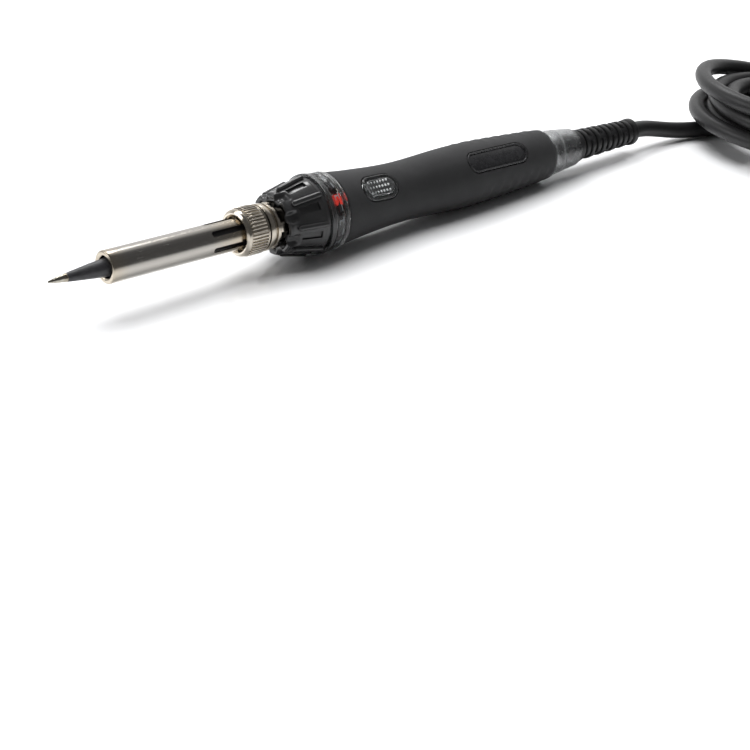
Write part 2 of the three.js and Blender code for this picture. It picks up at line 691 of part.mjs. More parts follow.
const rolledPieces = [
  ['soldering_tip', solderingTip(), TIP_PLATE],
  ['tip_sleeve', tipSleeve(), STEEL],
  ['knurled_nut', knurledNut(), NICKEL],
  ['threaded_nipple', threadedNipple(), NICKEL],
  ['ceramic_heater', ceramicHeater(), CERAMIC],
  ['heater_base', heaterBase(), CERAMIC],
  ['heater_spring', heaterSpring(), STEEL],
  ['temperature_knob', temperatureKnob(), BLACK_PLASTIC],
  ['dial_ring', dialRing(), CLEAR],
  ['wiper_ring', wiperRing(), NICKEL],
  ['track_disc', trackDisc(), BOARD],
  ['indicator_led', indicatorLed(), RED_LENS],
  ['inner_housing', innerHousing(), CLEAR],
  ['tail_cap', tailCap(), CLEAR],
  ['rubber_grip', rubberGrip(), RUBBER],
  ['button_bezel', buttonBezel(), CLEAR],
  ['push_button', pushButton(), CLEAR],
  ['label_window', labelWindow(), CLEAR],
  ['circuit_board', circuitBoard(), BOARD],
  ['tact_switch', tactSwitch(), CHIP],
  ['triac', triac(), CHIP],
  ['control_chip', controlChip(), CHIP],
  ['film_capacitor', filmCapacitor(), FILM],
  ['board_resistor', boardResistor(), CERAMIC],
  ['cord_clamp', cordClamp(), BLACK_PLASTIC],
  ['clamp_screw_1', clampScrew(-1), NICKEL],
  ['clamp_screw_2', clampScrew(1), NICKEL],
  ['strain_relief', strainRelief(), CORD],
];
rolledPieces.forEach(([name, geometry, finish]) => piece(rolled, name, geometry, finish));

coil.position.set(COIL_X, COIL_Y, 0);
const lean = rad(COIL_LEAN_DEGREES);
const towards = rad(COIL_LEAN_TOWARDS);
coil.quaternion.setFromAxisAngle(new THREE.Vector3(Math.sin(towards), -Math.cos(towards), 0), lean);
coil.position.z = COIL_OUTER_R * Math.sin(lean) + 0.1;
piece(coil, 'lead_coil', leadCoil(), CORD);
piece(coil, 'lead_tie', leadTie(), CORD);
piece(model, 'lead_tube', leadTube(LEAD_ROUTE, 5), CORD);
piece(model, 'plug_lead', leadTube(PLUG_ROUTE, 4), CORD);
plug.rotation.z = rad(PLUG_TURN_DEGREES);
plug.position.set(PLUG_ROUTE.at(-1).x, PLUG_ROUTE.at(-1).y - 2 * GAP, 0);
piece(plug, 'plug_body', plugBody(), CORD);
piece(plug, 'plug_blade_1', plugBlade(-1), NICKEL);
piece(plug, 'plug_blade_2', plugBlade(1), NICKEL);

export default model;
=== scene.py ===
import json
import math

import bmesh
import bpy
from mathutils import Matrix, Vector


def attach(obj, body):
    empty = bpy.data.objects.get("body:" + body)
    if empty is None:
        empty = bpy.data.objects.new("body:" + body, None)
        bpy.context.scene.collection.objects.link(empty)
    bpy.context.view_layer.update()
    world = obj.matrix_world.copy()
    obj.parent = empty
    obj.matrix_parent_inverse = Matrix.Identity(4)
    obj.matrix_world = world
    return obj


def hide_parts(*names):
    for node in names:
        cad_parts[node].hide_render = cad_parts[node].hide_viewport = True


bl_info = {
    "name": "Soldering iron",
    "version": (1, 0, 0),
    "blender": (4, 5, 0),
    "location": "3D view > Sidebar > Iron",
    "description": "A soldering iron with a ribbed temperature knob, a rubber grip and a coiled mains lead",
    "category": "Add Mesh",
}

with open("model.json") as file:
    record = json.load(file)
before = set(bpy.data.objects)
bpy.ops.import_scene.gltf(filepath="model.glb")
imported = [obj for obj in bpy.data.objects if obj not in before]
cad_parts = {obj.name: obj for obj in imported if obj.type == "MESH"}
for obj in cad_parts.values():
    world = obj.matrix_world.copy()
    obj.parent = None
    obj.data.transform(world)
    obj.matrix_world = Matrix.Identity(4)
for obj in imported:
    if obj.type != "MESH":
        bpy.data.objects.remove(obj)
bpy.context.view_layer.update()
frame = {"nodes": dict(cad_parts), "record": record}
JOINTS = {joint["name"]: joint for joint in frame["record"]["behaviour"]["joints"]}
MM = 0.001

# Stations along the iron, in millimetres from the tip's point.
X_MOUTH = 15.7
X_NUT = 55.2
X_COLLAR = 62.4
X_KNOB = 67.4
X_DIAL = 79.2
X_RIM = 84.2
X_GRIP = 85.8
X_TAIL = 169.8
X_SEAM = 175.4
X_RELIEF = 183.8
X_LEAD = 212.5
X_BUTTON = 99.4
X_LABEL = 145.3
KNOB_JOINT_X = 73.0
ROLL = math.radians(48)

GRIP_LENGTH = 84
BUTTON_SIZE = (13.4, 7.8)
LABEL_SIZE = (25, 6.8)
LAMP_OFF_AXIS = 6.3

# The grip's outline, as stations and radii.
GRIP_OUTLINE = (
    (X_GRIP, 10.3),
    (X_GRIP + 0.12 * GRIP_LENGTH, 9.25),
    (X_GRIP + 0.31 * GRIP_LENGTH, 8.4),
    (X_GRIP + 0.62 * GRIP_LENGTH, 9.12),
    (X_TAIL, 7.6),
)


def iron_place():
    """Where the iron lies: its X runs from the tip's point to the lead, and its Z through the button."""
    turn = JOINTS["knob_turn"]
    axis = Vector(turn["axis"]).normalized()
    point = Vector(turn["pos_m"]) - KNOB_JOINT_X * MM * axis
    tilt = Matrix.Rotation(math.asin(-axis.z), 4, "Y")
    return Matrix.Translation(point) @ tilt @ Matrix.Rotation(ROLL, 4, "X")


IRON = iron_place()
UNDER_BUTTON = Matrix.Translation((X_BUTTON * MM, 0, 0)) @ Matrix.Rotation(-math.pi / 2, 4, "Y")


# ---- sizes and colours that a user would change ----
def length(name, text, millimetres):
    return bpy.props.FloatProperty(
        name=name, description=text, default=millimetres * MM, min=0.0, unit="LENGTH", precision=5
    )


def count(name, text, number):
    return bpy.props.IntProperty(name=name, description=text, default=number, min=1)


def colour(name, text, shade):
    return bpy.props.FloatVectorProperty(
        name=name, description=text, default=shade, size=3, min=0.0, max=1.0, subtype="COLOR"
    )


class HotEndSizes(bpy.types.PropertyGroup):
    tinned: length("Tinned point", "Length of the bright tinned point of the tip", 5.06)
    sleeve_radius: length("Sleeve radius", "Outside radius of the steel sleeve", 4.25)
    slots: count("Slots", "Slots round the rear of the sleeve", 6)
    slot_width: length("Slot width", "Width of a slot in the sleeve", 1.5)
    nut_radius: length("Nut radius", "Outside radius of the knurled nut", 6.5)
    teeth: count("Knurl teeth", "Straight teeth round the nut", 44)
    lugs: count("Lugs", "Lugs at the rear of the threaded nipple", 4)


class ControlSizes(bpy.types.PropertyGroup):
    ribs: count("Knob ribs", "Round ribs on the temperature knob", 8)
    rib_radius: length("Rib radius", "Radius of a rib on the knob", 0.8)
    first_rib: bpy.props.FloatProperty(
        name="First rib", description="Turn of the first rib from the button", default=math.radians(-9),
        subtype="ANGLE",
    )
    dial_radius: length("Dial radius", "Radius of the dial's flange", 11.05)
    dashes: count("Dashes", "Short printed dashes round the dial", 20)
    marks: count("Marks", "Long printed marks round the dial", 10)


class GripSizes(bpy.types.PropertyGroup):
    ridges: count("Ridges", "Cross ridges on the rear of the grip", 10)
    ridge_height: length("Ridge height", "How far a ridge stands out of the rubber", 0.24)
    dot_columns: count("Dot columns", "Grip dots along the button", 7)
    dot_rows: count("Dot rows", "Grip dots across the button", 3)
    relief_ribs: count("Relief ribs", "Rings of the strain relief", 9)


class LeadSizes(bpy.types.PropertyGroup):
    diameter: length("Lead diameter", "Diameter of the mains lead", 5.2)
    blade_hole: length("Blade hole", "Radius of the hole in each blade of the plug", 1.6)


class Colours(bpy.types.PropertyGroup):
    steel: colour("Steel", "Colour of the steel sleeve", (0.42, 0.40, 0.37))
    nickel: colour("Nickel", "Colour of the nickel-plated nut and nipple", (0.58, 0.53, 0.455))
    plate: colour("Tip plate", "Colour of the black plate on the tip", (0.024, 0.024, 0.026))
    moulding: colour("Moulding", "Colour of the knob's plastic", (0.019, 0.019, 0.0195))
    rubber: colour("Rubber", "Colour of the grip's rubber", (0.023, 0.023, 0.024))
    lead: colour("Lead", "Colour of the lead's sheath", (0.0125, 0.0125, 0.013))
    clear: colour("Clear plastic", "Tint of the clear mouldings", (0.93, 0.95, 0.96))
    lamp: colour("Lamp", "Colour of the lamp that shows through the dial", (1.0, 0.03, 0.02))
    floor: colour("Table", "Colour of the table", (0.90, 0.905, 0.915))


GROUPS = {
    "iron_hot_end": HotEndSizes,
    "iron_control": ControlSizes,
    "iron_grip": GripSizes,
    "iron_lead": LeadSizes,
    "iron_colours": Colours,
}


def sizes(group):
    return getattr(bpy.context.scene, group)


def mm(value):
    return value / MM


# ---- outlines ----
def catmull(a, b, c, d, t):
    """A point of the smooth curve through b and c."""
    return (
        0.5 * (2 * b + (c - a) * t + (2 * a - 5 * b + 4 * c - d) * t * t + (3 * b - a - 3 * c + d) * t ** 3)
    )


def smooth_line(points, steps):
    """A smooth line through the points, with that many steps between each two."""
    line = []
    ends = [2 * points[0] - points[1], *points, 2 * points[-1] - points[-2]]
    for i in range(len(points) - 1):
        for k in range(steps):
            line.append(catmull(*ends[i:i + 4], k / steps))
    line.append(points[-1].copy())
    return line


def relaxed(line, rounds):
    """The line with its short kinks eased out, which keeps its long bends and its ends where they are."""
    for _ in range(rounds):
        for pull in (0.5, -0.51):
            inner = [b + pull * ((a + c) / 2 - b) for a, b, c in zip(line, line[1:], line[2:])]
            line = [line[0], *inner, line[-1]]
    return line


def grip_line():
    outline = [Vector(p) for p in GRIP_OUTLINE]
    ends = [outline[0], *outline, outline[-1]]
    return [catmull(*ends[i:i + 4], k / 60) for i in range(4) for k in range(60)] + [outline[-1]]


GRIP_LINE = grip_line()


def grip_radius(x):
    """The rubber's radius at a station, before its ridges."""
    for a, b in zip(GRIP_LINE, GRIP_LINE[1:]):
        if x <= b.x:
            return a.y + (b.y - a.y) * (x - a.x) / (b.x - a.x)
    last = GRIP_LINE[-1]
    before = GRIP_LINE[-2]
    return last.y + (last.y - before.y) * (x - last.x) / (last.x - before.x)


def eased(value, low, high):
    """0 below low, 1 above high, and smooth between."""
    t = min(max((value - low) / (high - low), 0.0), 1.0)
    return t * t * (3 - 2 * t)


def rounded(corners, closed=True, steps=5):
    """A profile of corners (station, radius) or (station, radius, fillet), with its fillets as arcs."""
    points = []
    total = len(corners)
    for i, corner in enumerate(corners):
        fillet = corner[2] if len(corner) == 3 else 0
        here = Vector(corner[:2])
        back = Vector(corners[i - 1][:2]) - here
        on = Vector(corners[(i + 1) % total][:2]) - here
        straight = back.angle(on) > math.radians(178)
        if not fillet or straight or (not closed and i in (0, total - 1)):
            points.append((corner[0], corner[1]))
            continue
        half = back.angle(on) / 2
        reach = min(fillet / math.tan(half), 0.48 * back.length, 0.48 * on.length)
        radius = reach * math.tan(half)
        centre = here + (back.normalized() + on.normalized()).normalized() * radius / math.sin(half)
        first = here + back.normalized() * reach - centre
        last = here + on.normalized() * reach - centre
        sweep = first.angle_signed(last)
        for k in range(steps + 1):
            arm = first.copy()
            arm.rotate(Matrix.Rotation(-sweep * k / steps, 2))
            points.append(tuple(centre + arm))
    return points


# ---- meshes ----
def strips(rows, wide, closed=False):
    """The faces between rows of points, each row a ring. closed joins the last row to the first."""
    faces = []
    for i in range(rows if closed else rows - 1):
        j = (i + 1) % rows
        for k in range(wide):
            m = (k + 1) % wide
            faces.append((i * wide + k, i * wide + m, j * wide + m, j * wide + k))
    return faces


def ends(total, wide):
    """The two faces that close the first and the last row of points."""
    return [tuple(range(wide)), tuple(range(total - 1, total - 1 - wide, -1))]


def prism(outline, low, high):
    """A flat outline raised from one height to another."""
    total = len(outline)
    points = [(x, y, z) for z in (low, high) for x, y in outline]
    return points, ends(2 * total, total) + strips(2, total)


def turned(profile, sides=96, closed=True, shape=None):
    """A profile turned about the iron's axis. shape(x, angle, radius) may change a radius."""
    points = []
    for x, radius in profile:
        for k in range(sides):
            angle = 2 * math.pi * k / sides
            r = shape(x, angle, radius) if shape else radius
            points.append((x, -r * math.sin(angle), r * math.cos(angle)))
    return points, strips(len(profile), sides, closed)


def oblong_outline(size, inset, arc=14, straight=10):
    """The outline of an oblong with round ends, drawn in by an inset."""
    size_x, size_y = size
    half = (size_x - size_y) / 2
    radius = max(size_y / 2 - inset, 0.0)
    outline = []
    for side in (1, -1):
        for k in range(arc):
            angle = -side * math.pi / 2 + math.pi * k / arc
            outline.append((side * half + radius * math.cos(angle), radius * math.sin(angle)))
        for k in range(straight):
            outline.append((side * half * (1 - 2 * k / straight), side * radius))
    return outline


def oblong_on_grip(x, size, section, closed):
    """An oblong that follows the grip's skin. section is rows of (inset, height above the skin)."""
    points = []
    for inset, rise in section:
        for u, v in oblong_outline(size, inset):
            radius = grip_radius(x + u) + rise
            points.append((x + u, v, math.sqrt(radius * radius - v * v)))
    return points, strips(len(section), len(points) // len(section), closed)


def block(x0, x1, y0, y1, z0, z1):
    """Points and faces of a straight block, which a bevel then rounds."""
    points = [(x, y, z) for x in (x0, x1) for y in (y0, y1) for z in (z0, z1)]
    faces = [(0, 1, 3, 2), (4, 6, 7, 5), (0, 4, 5, 1), (2, 3, 7, 6), (0, 2, 6, 4), (1, 5, 7, 3)]
    return points, faces


def new_piece(name, form, place=None):
    """An object of that form, given in millimetres, with its doubles merged and its faces pointing out."""
    mesh = bpy.data.meshes.new(name)
    mesh.from_pydata(form[0], [], form[1])
    work = bmesh.new()
    work.from_mesh(mesh)
    bmesh.ops.remove_doubles(work, verts=work.verts, dist=1e-4)
    bmesh.ops.recalc_face_normals(work, faces=work.faces)
    work.to_mesh(mesh)
    work.free()
    mesh.transform(Matrix.Scale(MM, 4))
    if place:
        mesh.transform(place)
    piece = bpy.data.objects.new(name, mesh)
    bpy.context.scene.collection.objects.link(piece)
    return piece


def made_plain(piece):
    """Works out the piece's modifiers into a plain mesh and removes them."""
    bpy.context.view_layer.update()
    graph = bpy.context.evaluated_depsgraph_get()
    mesh = bpy.data.meshes.new_from_object(piece.evaluated_get(graph))
    piece.modifiers.clear()
    old = piece.data
    piece.data = mesh
    bpy.data.meshes.remove(old)
    return piece


def bevelled(piece, width, segments=3, angle=30):
    bevel = piece.modifiers.new("edges", "BEVEL")
    bevel.width = width * MM
    bevel.segments = segments
    bevel.limit_method = "ANGLE"
    bevel.angle_limit = math.radians(angle)
    return made_plain(piece)


def cut_away(piece, cutters):
    """Cuts the cutters out of the piece and removes them."""
    for cutter in cutters:
        difference = piece.modifiers.new("cut", "BOOLEAN")
        difference.object = cutter
        difference.operation = "DIFFERENCE"
        difference.solver = "EXACT"
    made_plain(piece)
    for cutter in cutters:
        bpy.data.objects.remove(cutter)
    return piece


def turned_about_axis(form, angle):
    turn = Matrix.Rotation(angle, 3, "X")
    return [tuple(turn @ Vector(p)) for p in form[0]], form[1]


def shaded(piece, angle=35):
    piece.data.shade_smooth()
    piece.data.set_sharp_from_angle(angle=math.radians(angle))
    return piece


def moved(piece, place):
    """Moves a piece by a place given in millimetres."""
    for step in (Matrix.Scale(1 / MM, 4), place, Matrix.Scale(MM, 4)):
        piece.data.transform(step)


def placed(piece):
    """Lays a piece that was made round the X axis where the iron lies."""
    piece.data.transform(IRON)
    return piece


def settled(piece, body, finish, nodes=()):
    """Gives a finished piece its finish and the body it moves with, and hides the nodes it stands for."""
    piece.data.materials.clear()
    piece.data.materials.append(finish)
    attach(piece, body)
    if nodes:
        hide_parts(*nodes)
    return piece


def laid(name, form, angle, body, finish, nodes=()):
    """Makes a piece round the X axis, smooths it up to an angle, lays it in place and settles it."""
    return settled(placed(shaded(new_piece(name, form), angle)), body, finish, nodes)


# ---- patterns made with geometry nodes ----
class Nodes:
    """A node tree in the making."""

    def __init__(self, tree):
        self.tree = tree

    def node(self, kind, **settings):
        made = self.tree.nodes.new(kind)
        for key, value in settings.items():
            setattr(made, key, value)
        return made

    def link(self, source, target):
        self.tree.links.new(source, target)

    def put(self, socket, value):
        """Links a socket into the socket, or puts a plain value there."""
        if isinstance(value, bpy.types.NodeSocket):
            self.link(value, socket)
        else:
            socket.default_value = value


class Tree(Nodes):
    """A geometry node tree, which ends in Realize Instances and Set Material."""

    def __init__(self, name, inputs):
        super().__init__(bpy.data.node_groups.new(name, "GeometryNodeTree"))
        face = self.tree.interface
        face.new_socket("Geometry", in_out="INPUT", socket_type="NodeSocketGeometry")
        for label, kind in inputs.items():
            face.new_socket(label, in_out="INPUT", socket_type=kind)
        face.new_socket("Finish", in_out="INPUT", socket_type="NodeSocketMaterial")
        face.new_socket("Geometry", in_out="OUTPUT", socket_type="NodeSocketGeometry")
        self.given = self.node("NodeGroupInput").outputs

    def maths(self, operation, a, b):
        return self.fed(self.node("ShaderNodeMath", operation=operation), a, b)

    def vector(self, x=0, y=0, z=0):
        return self.fed(self.node("ShaderNodeCombineXYZ"), x, y, z)

    def fed(self, made, *values):
        """Puts the values into a node's inputs in order, and gives its first output."""
        for socket, value in zip(made.inputs, values):
            self.put(socket, value)
        return made.outputs[0]

    def finish(self, points, turn=None, scale=None):
        copies = self.node("GeometryNodeInstanceOnPoints")
        self.link(points, copies.inputs["Points"])
        self.link(self.given["Geometry"], copies.inputs["Instance"])
        if turn:
            rotation = self.node("FunctionNodeEulerToRotation")
            self.link(turn, rotation.inputs[0])
            self.link(rotation.outputs[0], copies.inputs["Rotation"])
        if scale:
            self.link(scale, copies.inputs["Scale"])
        real = self.node("GeometryNodeRealizeInstances")
        paint = self.node("GeometryNodeSetMaterial")
        out = self.node("NodeGroupOutput")
        self.link(copies.outputs[0], real.inputs[0])
        self.link(real.outputs[0], paint.inputs["Geometry"])
        self.link(self.given["Finish"], paint.inputs["Material"])
        self.link(paint.outputs[0], out.inputs[0])
        return self.tree


def round_tree():
    """Copies set round the X axis, evenly."""
    tree = Tree("set_round", {"Count": "NodeSocketInt", "First turn": "NodeSocketFloat"})
    points = tree.node("GeometryNodePoints")
    tree.link(tree.given["Count"], points.inputs["Count"])
    index = tree.node("GeometryNodeInputIndex").outputs[0]
    share = tree.maths("DIVIDE", index, tree.given["Count"])
    angle = tree.maths("ADD", tree.maths("MULTIPLY", share, 2 * math.pi), tree.given["First turn"])
    return tree.finish(points.outputs[0], turn=tree.vector(x=angle))


def row_tree():
    """Copies set in a row along X, each turned from the last, that taper to a last scale."""
    tree = Tree("set_in_row", {
        "Count": "NodeSocketInt", "First": "NodeSocketFloat", "Pitch": "NodeSocketFloat",
        "Turn": "NodeSocketFloat", "Last scale": "NodeSocketFloat",
    })
    points = tree.node("GeometryNodePoints")
    index = tree.node("GeometryNodeInputIndex").outputs[0]
    along = tree.maths("ADD", tree.given["First"], tree.maths("MULTIPLY", index, tree.given["Pitch"]))
    tree.link(tree.given["Count"], points.inputs["Count"])
    tree.link(tree.vector(x=along), points.inputs["Position"])
    share = tree.maths("DIVIDE", index, tree.maths("SUBTRACT", tree.given["Count"], 1))
    taper = tree.maths("SUBTRACT", 1, tree.maths(
        "MULTIPLY", share, tree.maths("SUBTRACT", 1, tree.given["Last scale"])))
    turn = tree.vector(x=tree.maths("MULTIPLY", index, tree.given["Turn"]))
    return tree.finish(points.outputs[0], turn=turn, scale=tree.vector(x=1, y=taper, z=taper))


def field_tree():
    """Copies set in rows and columns on a round surface about the X axis."""
    tree = Tree("set_in_field", {
        "Columns": "NodeSocketInt", "Rows": "NodeSocketInt", "Length": "NodeSocketFloat",
        "Width": "NodeSocketFloat", "Station": "NodeSocketFloat", "Radius": "NodeSocketFloat",
    })
    grid = tree.node("GeometryNodeMeshGrid")
    for label, socket in (("Length", "Size X"), ("Width", "Size Y"), ("Columns", "Vertices X"),
                          ("Rows", "Vertices Y")):
        tree.link(tree.given[label], grid.inputs[socket])
    place = tree.node("ShaderNodeSeparateXYZ")
    tree.link(tree.node("GeometryNodeInputPosition").outputs[0], place.inputs[0])
    square = tree.maths("MULTIPLY", place.outputs["Y"], place.outputs["Y"])
    left = tree.maths("SUBTRACT", tree.maths("MULTIPLY", tree.given["Radius"], tree.given["Radius"]), square)
    height = tree.maths("SQRT", left, 0)
    set_place = tree.node("GeometryNodeSetPosition")
    tree.link(grid.outputs["Mesh"], set_place.inputs["Geometry"])
    tree.link(tree.vector(
        x=tree.maths("ADD", place.outputs["X"], tree.given["Station"]), y=place.outputs["Y"], z=height,
    ), set_place.inputs["Position"])
    return tree.finish(set_place.outputs[0])


def patterned(piece, tree, finish, **values):
    """Repeats the piece with a tree. The values are the tree's named inputs."""
    modifier = piece.modifiers.new(tree.name, "NODES")
    modifier.node_group = tree
    labels = {key.replace("_", " ").lower(): value for key, value in values.items()}
    labels["finish"] = finish
    for socket in tree.interface.items_tree:
        if socket.in_out == "INPUT" and socket.name.lower() in labels:
            modifier[socket.identifier] = labels[socket.name.lower()]
    return made_plain(piece)


TREES = {}


def tree_of(maker):
    if maker.__name__ not in TREES:
        TREES[maker.__name__] = maker()
    return TREES[maker.__name__]


# ---- finishes ----
class Finish(Nodes):
    """A finish in the making. Its pattern follows the piece's own place, in millimetres along the iron."""

    def __init__(self, name, place=IRON):
        self.material = bpy.data.materials.new(name)
        self.material.use_nodes = True
        super().__init__(self.material.node_tree)
        self.shader = next(n for n in self.tree.nodes if n.type == "BSDF_PRINCIPLED")
        mapping = self.node("ShaderNodeMapping", vector_type="TEXTURE")
        mapping.inputs["Location"].default_value = place.to_translation()
        mapping.inputs["Rotation"].default_value = place.to_euler()
        mapping.inputs["Scale"].default_value = (MM, MM, MM)
        self.link(self.node("ShaderNodeTexCoord").outputs["Object"], mapping.inputs["Vector"])
        self.place = mapping.outputs[0]

    def maths(self, operation, a, b=0.0, clamp=False):
        made = self.node("ShaderNodeMath", operation=operation, use_clamp=clamp)
        self.put(made.inputs[0], a)
        self.put(made.inputs[1], b)
        return made.outputs[0]

    def axes(self):
        split = self.node("ShaderNodeSeparateXYZ")
        self.link(self.place, split.inputs[0])
        return split.outputs

    def stretched(self, x, y, z):
        scale = self.node("ShaderNodeVectorMath", operation="MULTIPLY")
        self.link(self.place, scale.inputs[0])
        scale.inputs[1].default_value = (x, y, z)
        return scale.outputs[0]

    def noise(self, scale, detail=3.0, rough=0.55, at=None):
        made = self.node("ShaderNodeTexNoise")
        self.link(at or self.place, made.inputs["Vector"])
        made.inputs["Scale"].default_value = scale
        made.inputs["Detail"].default_value = detail
        made.inputs["Roughness"].default_value = rough
        return made.outputs["Fac"]

    def spread(self, value, low, high, to_low, to_high):
        made = self.node("ShaderNodeMapRange", clamp=True)
        self.put(made.inputs["Value"], value)
        for label, number in (("From Min", low), ("From Max", high), ("To Min", to_low), ("To Max", to_high)):
            made.inputs[label].default_value = number
        return made.outputs["Result"]

    def mixed(self, share, first, second):
        made = self.node("ShaderNodeMix", data_type="RGBA")
        self.put(made.inputs["Factor"], share)
        self.put(made.inputs[6], (*first, 1) if isinstance(first, (tuple, list)) else first)
        self.put(made.inputs[7], (*second, 1) if isinstance(second, (tuple, list)) else second)
        return made.outputs[2]

    def bumps(self, height, distance, strength=1.0):
        made = self.node("ShaderNodeBump")
        made.inputs["Distance"].default_value = distance * MM
        made.inputs["Strength"].default_value = strength
        self.put(made.inputs["Height"], height)
        self.link(made.outputs[0], self.shader.inputs["Normal"])

    def set(self, **values):
        for key, value in values.items():
            socket = self.shader.inputs[key.replace("_", " ")]
            if isinstance(value, tuple) and len(value) == 3 and len(socket.default_value) == 4:
                value = (*value, 1)
            self.put(socket, value)
        return self.material


def shade(name):
    return tuple(getattr(sizes("iron_colours"), name))


def scaled(tone, factor):
    return tuple(min(c * factor, 1.0) for c in tone)


def tip_finish():
    """Black plate with a tinned point, whose edge is uneven and stained brown."""
    made = Finish("tinned_tip")
    along = made.axes()[0]
    edge = made.maths("ADD", along, made.spread(made.noise(0.9), 0, 1, -0.5, 0.5))
    length_tinned = mm(sizes("iron_hot_end").tinned)
    plate = made.spread(edge, length_tinned - 0.15, length_tinned + 0.15, 0, 1)
    stain = made.spread(edge, length_tinned - 1.4, length_tinned, 0, 0.55)
    tin = made.mixed(made.spread(made.noise(1.6), 0.3, 0.7, 0, 1), (0.46, 0.44, 0.385), (0.33, 0.305, 0.255))
    tin = made.mixed(stain, tin, (0.22, 0.17, 0.10))
    black = made.mixed(made.noise(0.7), shade("plate"), scaled(shade("plate"), 2.2))
    made.bumps(made.noise(2.2), 0.05)
    return made.set(
        Base_Color=made.mixed(plate, tin, black),
        Metallic=made.spread(plate, 0, 1, 1.0, 0.15),
        Roughness=made.spread(plate, 0, 1, 0.24, 0.44),
    )


def sleeve_finish():
    """Drawn stainless steel: fine lengthwise lines, faint marks, and a straw tint where it gets hot."""
    made = Finish("drawn_stainless")
    lines = made.noise(1.0, 5, 0.7, made.stretched(0.05, 6, 6))
    marks = made.spread(made.noise(0.35), 0.45, 0.7, 0, 1)
    along = made.axes()[0]
    heat = made.maths("ADD", made.spread(along, X_MOUTH, X_MOUTH + 5, 0.35, 0.0),
                      made.spread(along, X_NUT - 10, X_NUT, 0.0, 0.45))
    steel = made.mixed(made.spread(lines, 0.3, 0.7, 0, 1), scaled(shade("steel"), 0.9),
                       scaled(shade("steel"), 1.08))
    made.bumps(lines, 0.006, 0.5)
    return made.set(
        Base_Color=made.mixed(heat, steel, (0.55, 0.44, 0.28)),
        Metallic=1.0,
        Roughness=made.maths("ADD", made.spread(lines, 0.3, 0.7, 0.15, 0.25),
                             made.maths("MULTIPLY", marks, 0.05)),
    )


def nickel_finish():
    """Bright nickel plate, a little warm, with small differences in its polish."""
    made = Finish("bright_nickel")
    cloud = made.noise(0.5)
    warm = made.mixed(made.spread(cloud, 0.35, 0.65, 0, 1), shade("nickel"), scaled(shade("nickel"), 0.86))
    made.bumps(made.noise(3.0), 0.004, 0.5)
    return made.set(
        Base_Color=warm, Metallic=1.0,
        Roughness=made.spread(made.noise(1.4, 4), 0.3, 0.7, 0.10, 0.20),
    )


def moulding_finish():
    """Glossy black moulded plastic with faint flow and handling marks."""
    made = Finish("black_moulding")
    haze = made.noise(0.25, 4)
    tone = made.mixed(haze, shade("moulding"), scaled(shade("moulding"), 1.8))
    made.bumps(made.noise(0.8, 3), 0.004)
    return made.set(
        Base_Color=tone, Roughness=made.spread(haze, 0.3, 0.7, 0.14, 0.27),
        Specular_IOR_Level=0.5, Coat_Weight=0.0,
    )


def clear_finish(name, rough_low, rough_high, passing, tint=1.0):
    """Clear moulded plastic. Its polish varies, and the rougher the surface the whiter it looks."""
    made = Finish(name)
    haze = made.noise(0.6, 4)
    made.bumps(made.noise(0.5, 2), 0.003)
    return made.set(
        Base_Color=made.mixed(made.spread(haze, 0.3, 0.7, 0, 1), scaled(shade("clear"), tint),
                              scaled(shade("clear"), 0.93 * tint)),
        Roughness=made.spread(haze, 0.3, 0.7, rough_low, rough_high),
        IOR=1.5, Transmission_Weight=passing,
    )


def smoked_finish():
    """Smoked glossy plastic of the long window in the grip."""
    made = Finish("smoked_window")
    haze = made.noise(0.5, 3)
    made.bumps(made.noise(0.7, 2), 0.002)
    return made.set(
        Base_Color=made.mixed(haze, (0.012, 0.012, 0.013), (0.03, 0.03, 0.032)),
        Roughness=made.spread(haze, 0.3, 0.7, 0.22, 0.34),
    )


def rubber_finish():
    """Soft matt rubber with a fine eggshell grain and paler dust where hands touch it."""
    made = Finish("grip_rubber")
    grain = made.noise(4.5, 4, 0.65)
    dust = made.spread(made.noise(0.12, 5, 0.6), 0.4, 0.75, 0, 0.5)
    tone = made.mixed(grain, scaled(shade("rubber"), 0.8), scaled(shade("rubber"), 1.25))
    made.bumps(grain, 0.03, 0.6)
    return made.set(
        Base_Color=made.mixed(dust, tone, scaled(shade("rubber"), 1.7)),
        Roughness=made.spread(grain, 0.3, 0.7, 0.62, 0.78),
        Specular_IOR_Level=0.32, Sheen_Weight=0.04, Sheen_Roughness=0.5,
    )


def lead_finish():
    """Satin black sheath with a fine drawn grain."""
    made = Finish("lead_sheath", Matrix())
    grain = made.noise(1.6, 4, 0.6)
    made.bumps(grain, 0.03, 0.5)
    return made.set(
        Base_Color=made.mixed(grain, scaled(shade("lead"), 0.8), scaled(shade("lead"), 1.5)),
        Roughness=made.spread(grain, 0.3, 0.7, 0.36, 0.50),
        Specular_IOR_Level=0.42,
    )


def print_finish(name, tone):
    made = Finish(name)
    speck = made.noise(3.0, 3)
    made.bumps(speck, 0.01, 0.4)
    return made.set(Base_Color=made.mixed(speck, tone, scaled(tone, 0.75)), Roughness=0.5)


def lamp_finish():
    """The lamp's red lens, lit, brighter where its chip sits."""
    made = Finish("lit_lamp")
    along = made.axes()[0]
    glow = made.maths("MULTIPLY", made.spread(made.noise(1.2), 0.2, 0.8, 0.7, 1.2),
                      made.spread(along, X_DIAL + 1, X_RIM + 2, 2.4, 0.6))
    made.bumps(made.noise(2.0), 0.01)
    return made.set(
        Base_Color=shade("lamp"), Roughness=0.2,
        Emission_Color=made.mixed(made.noise(1.0), shade("lamp"), (1.0, 0.10, 0.07)), Emission_Strength=glow,
    )


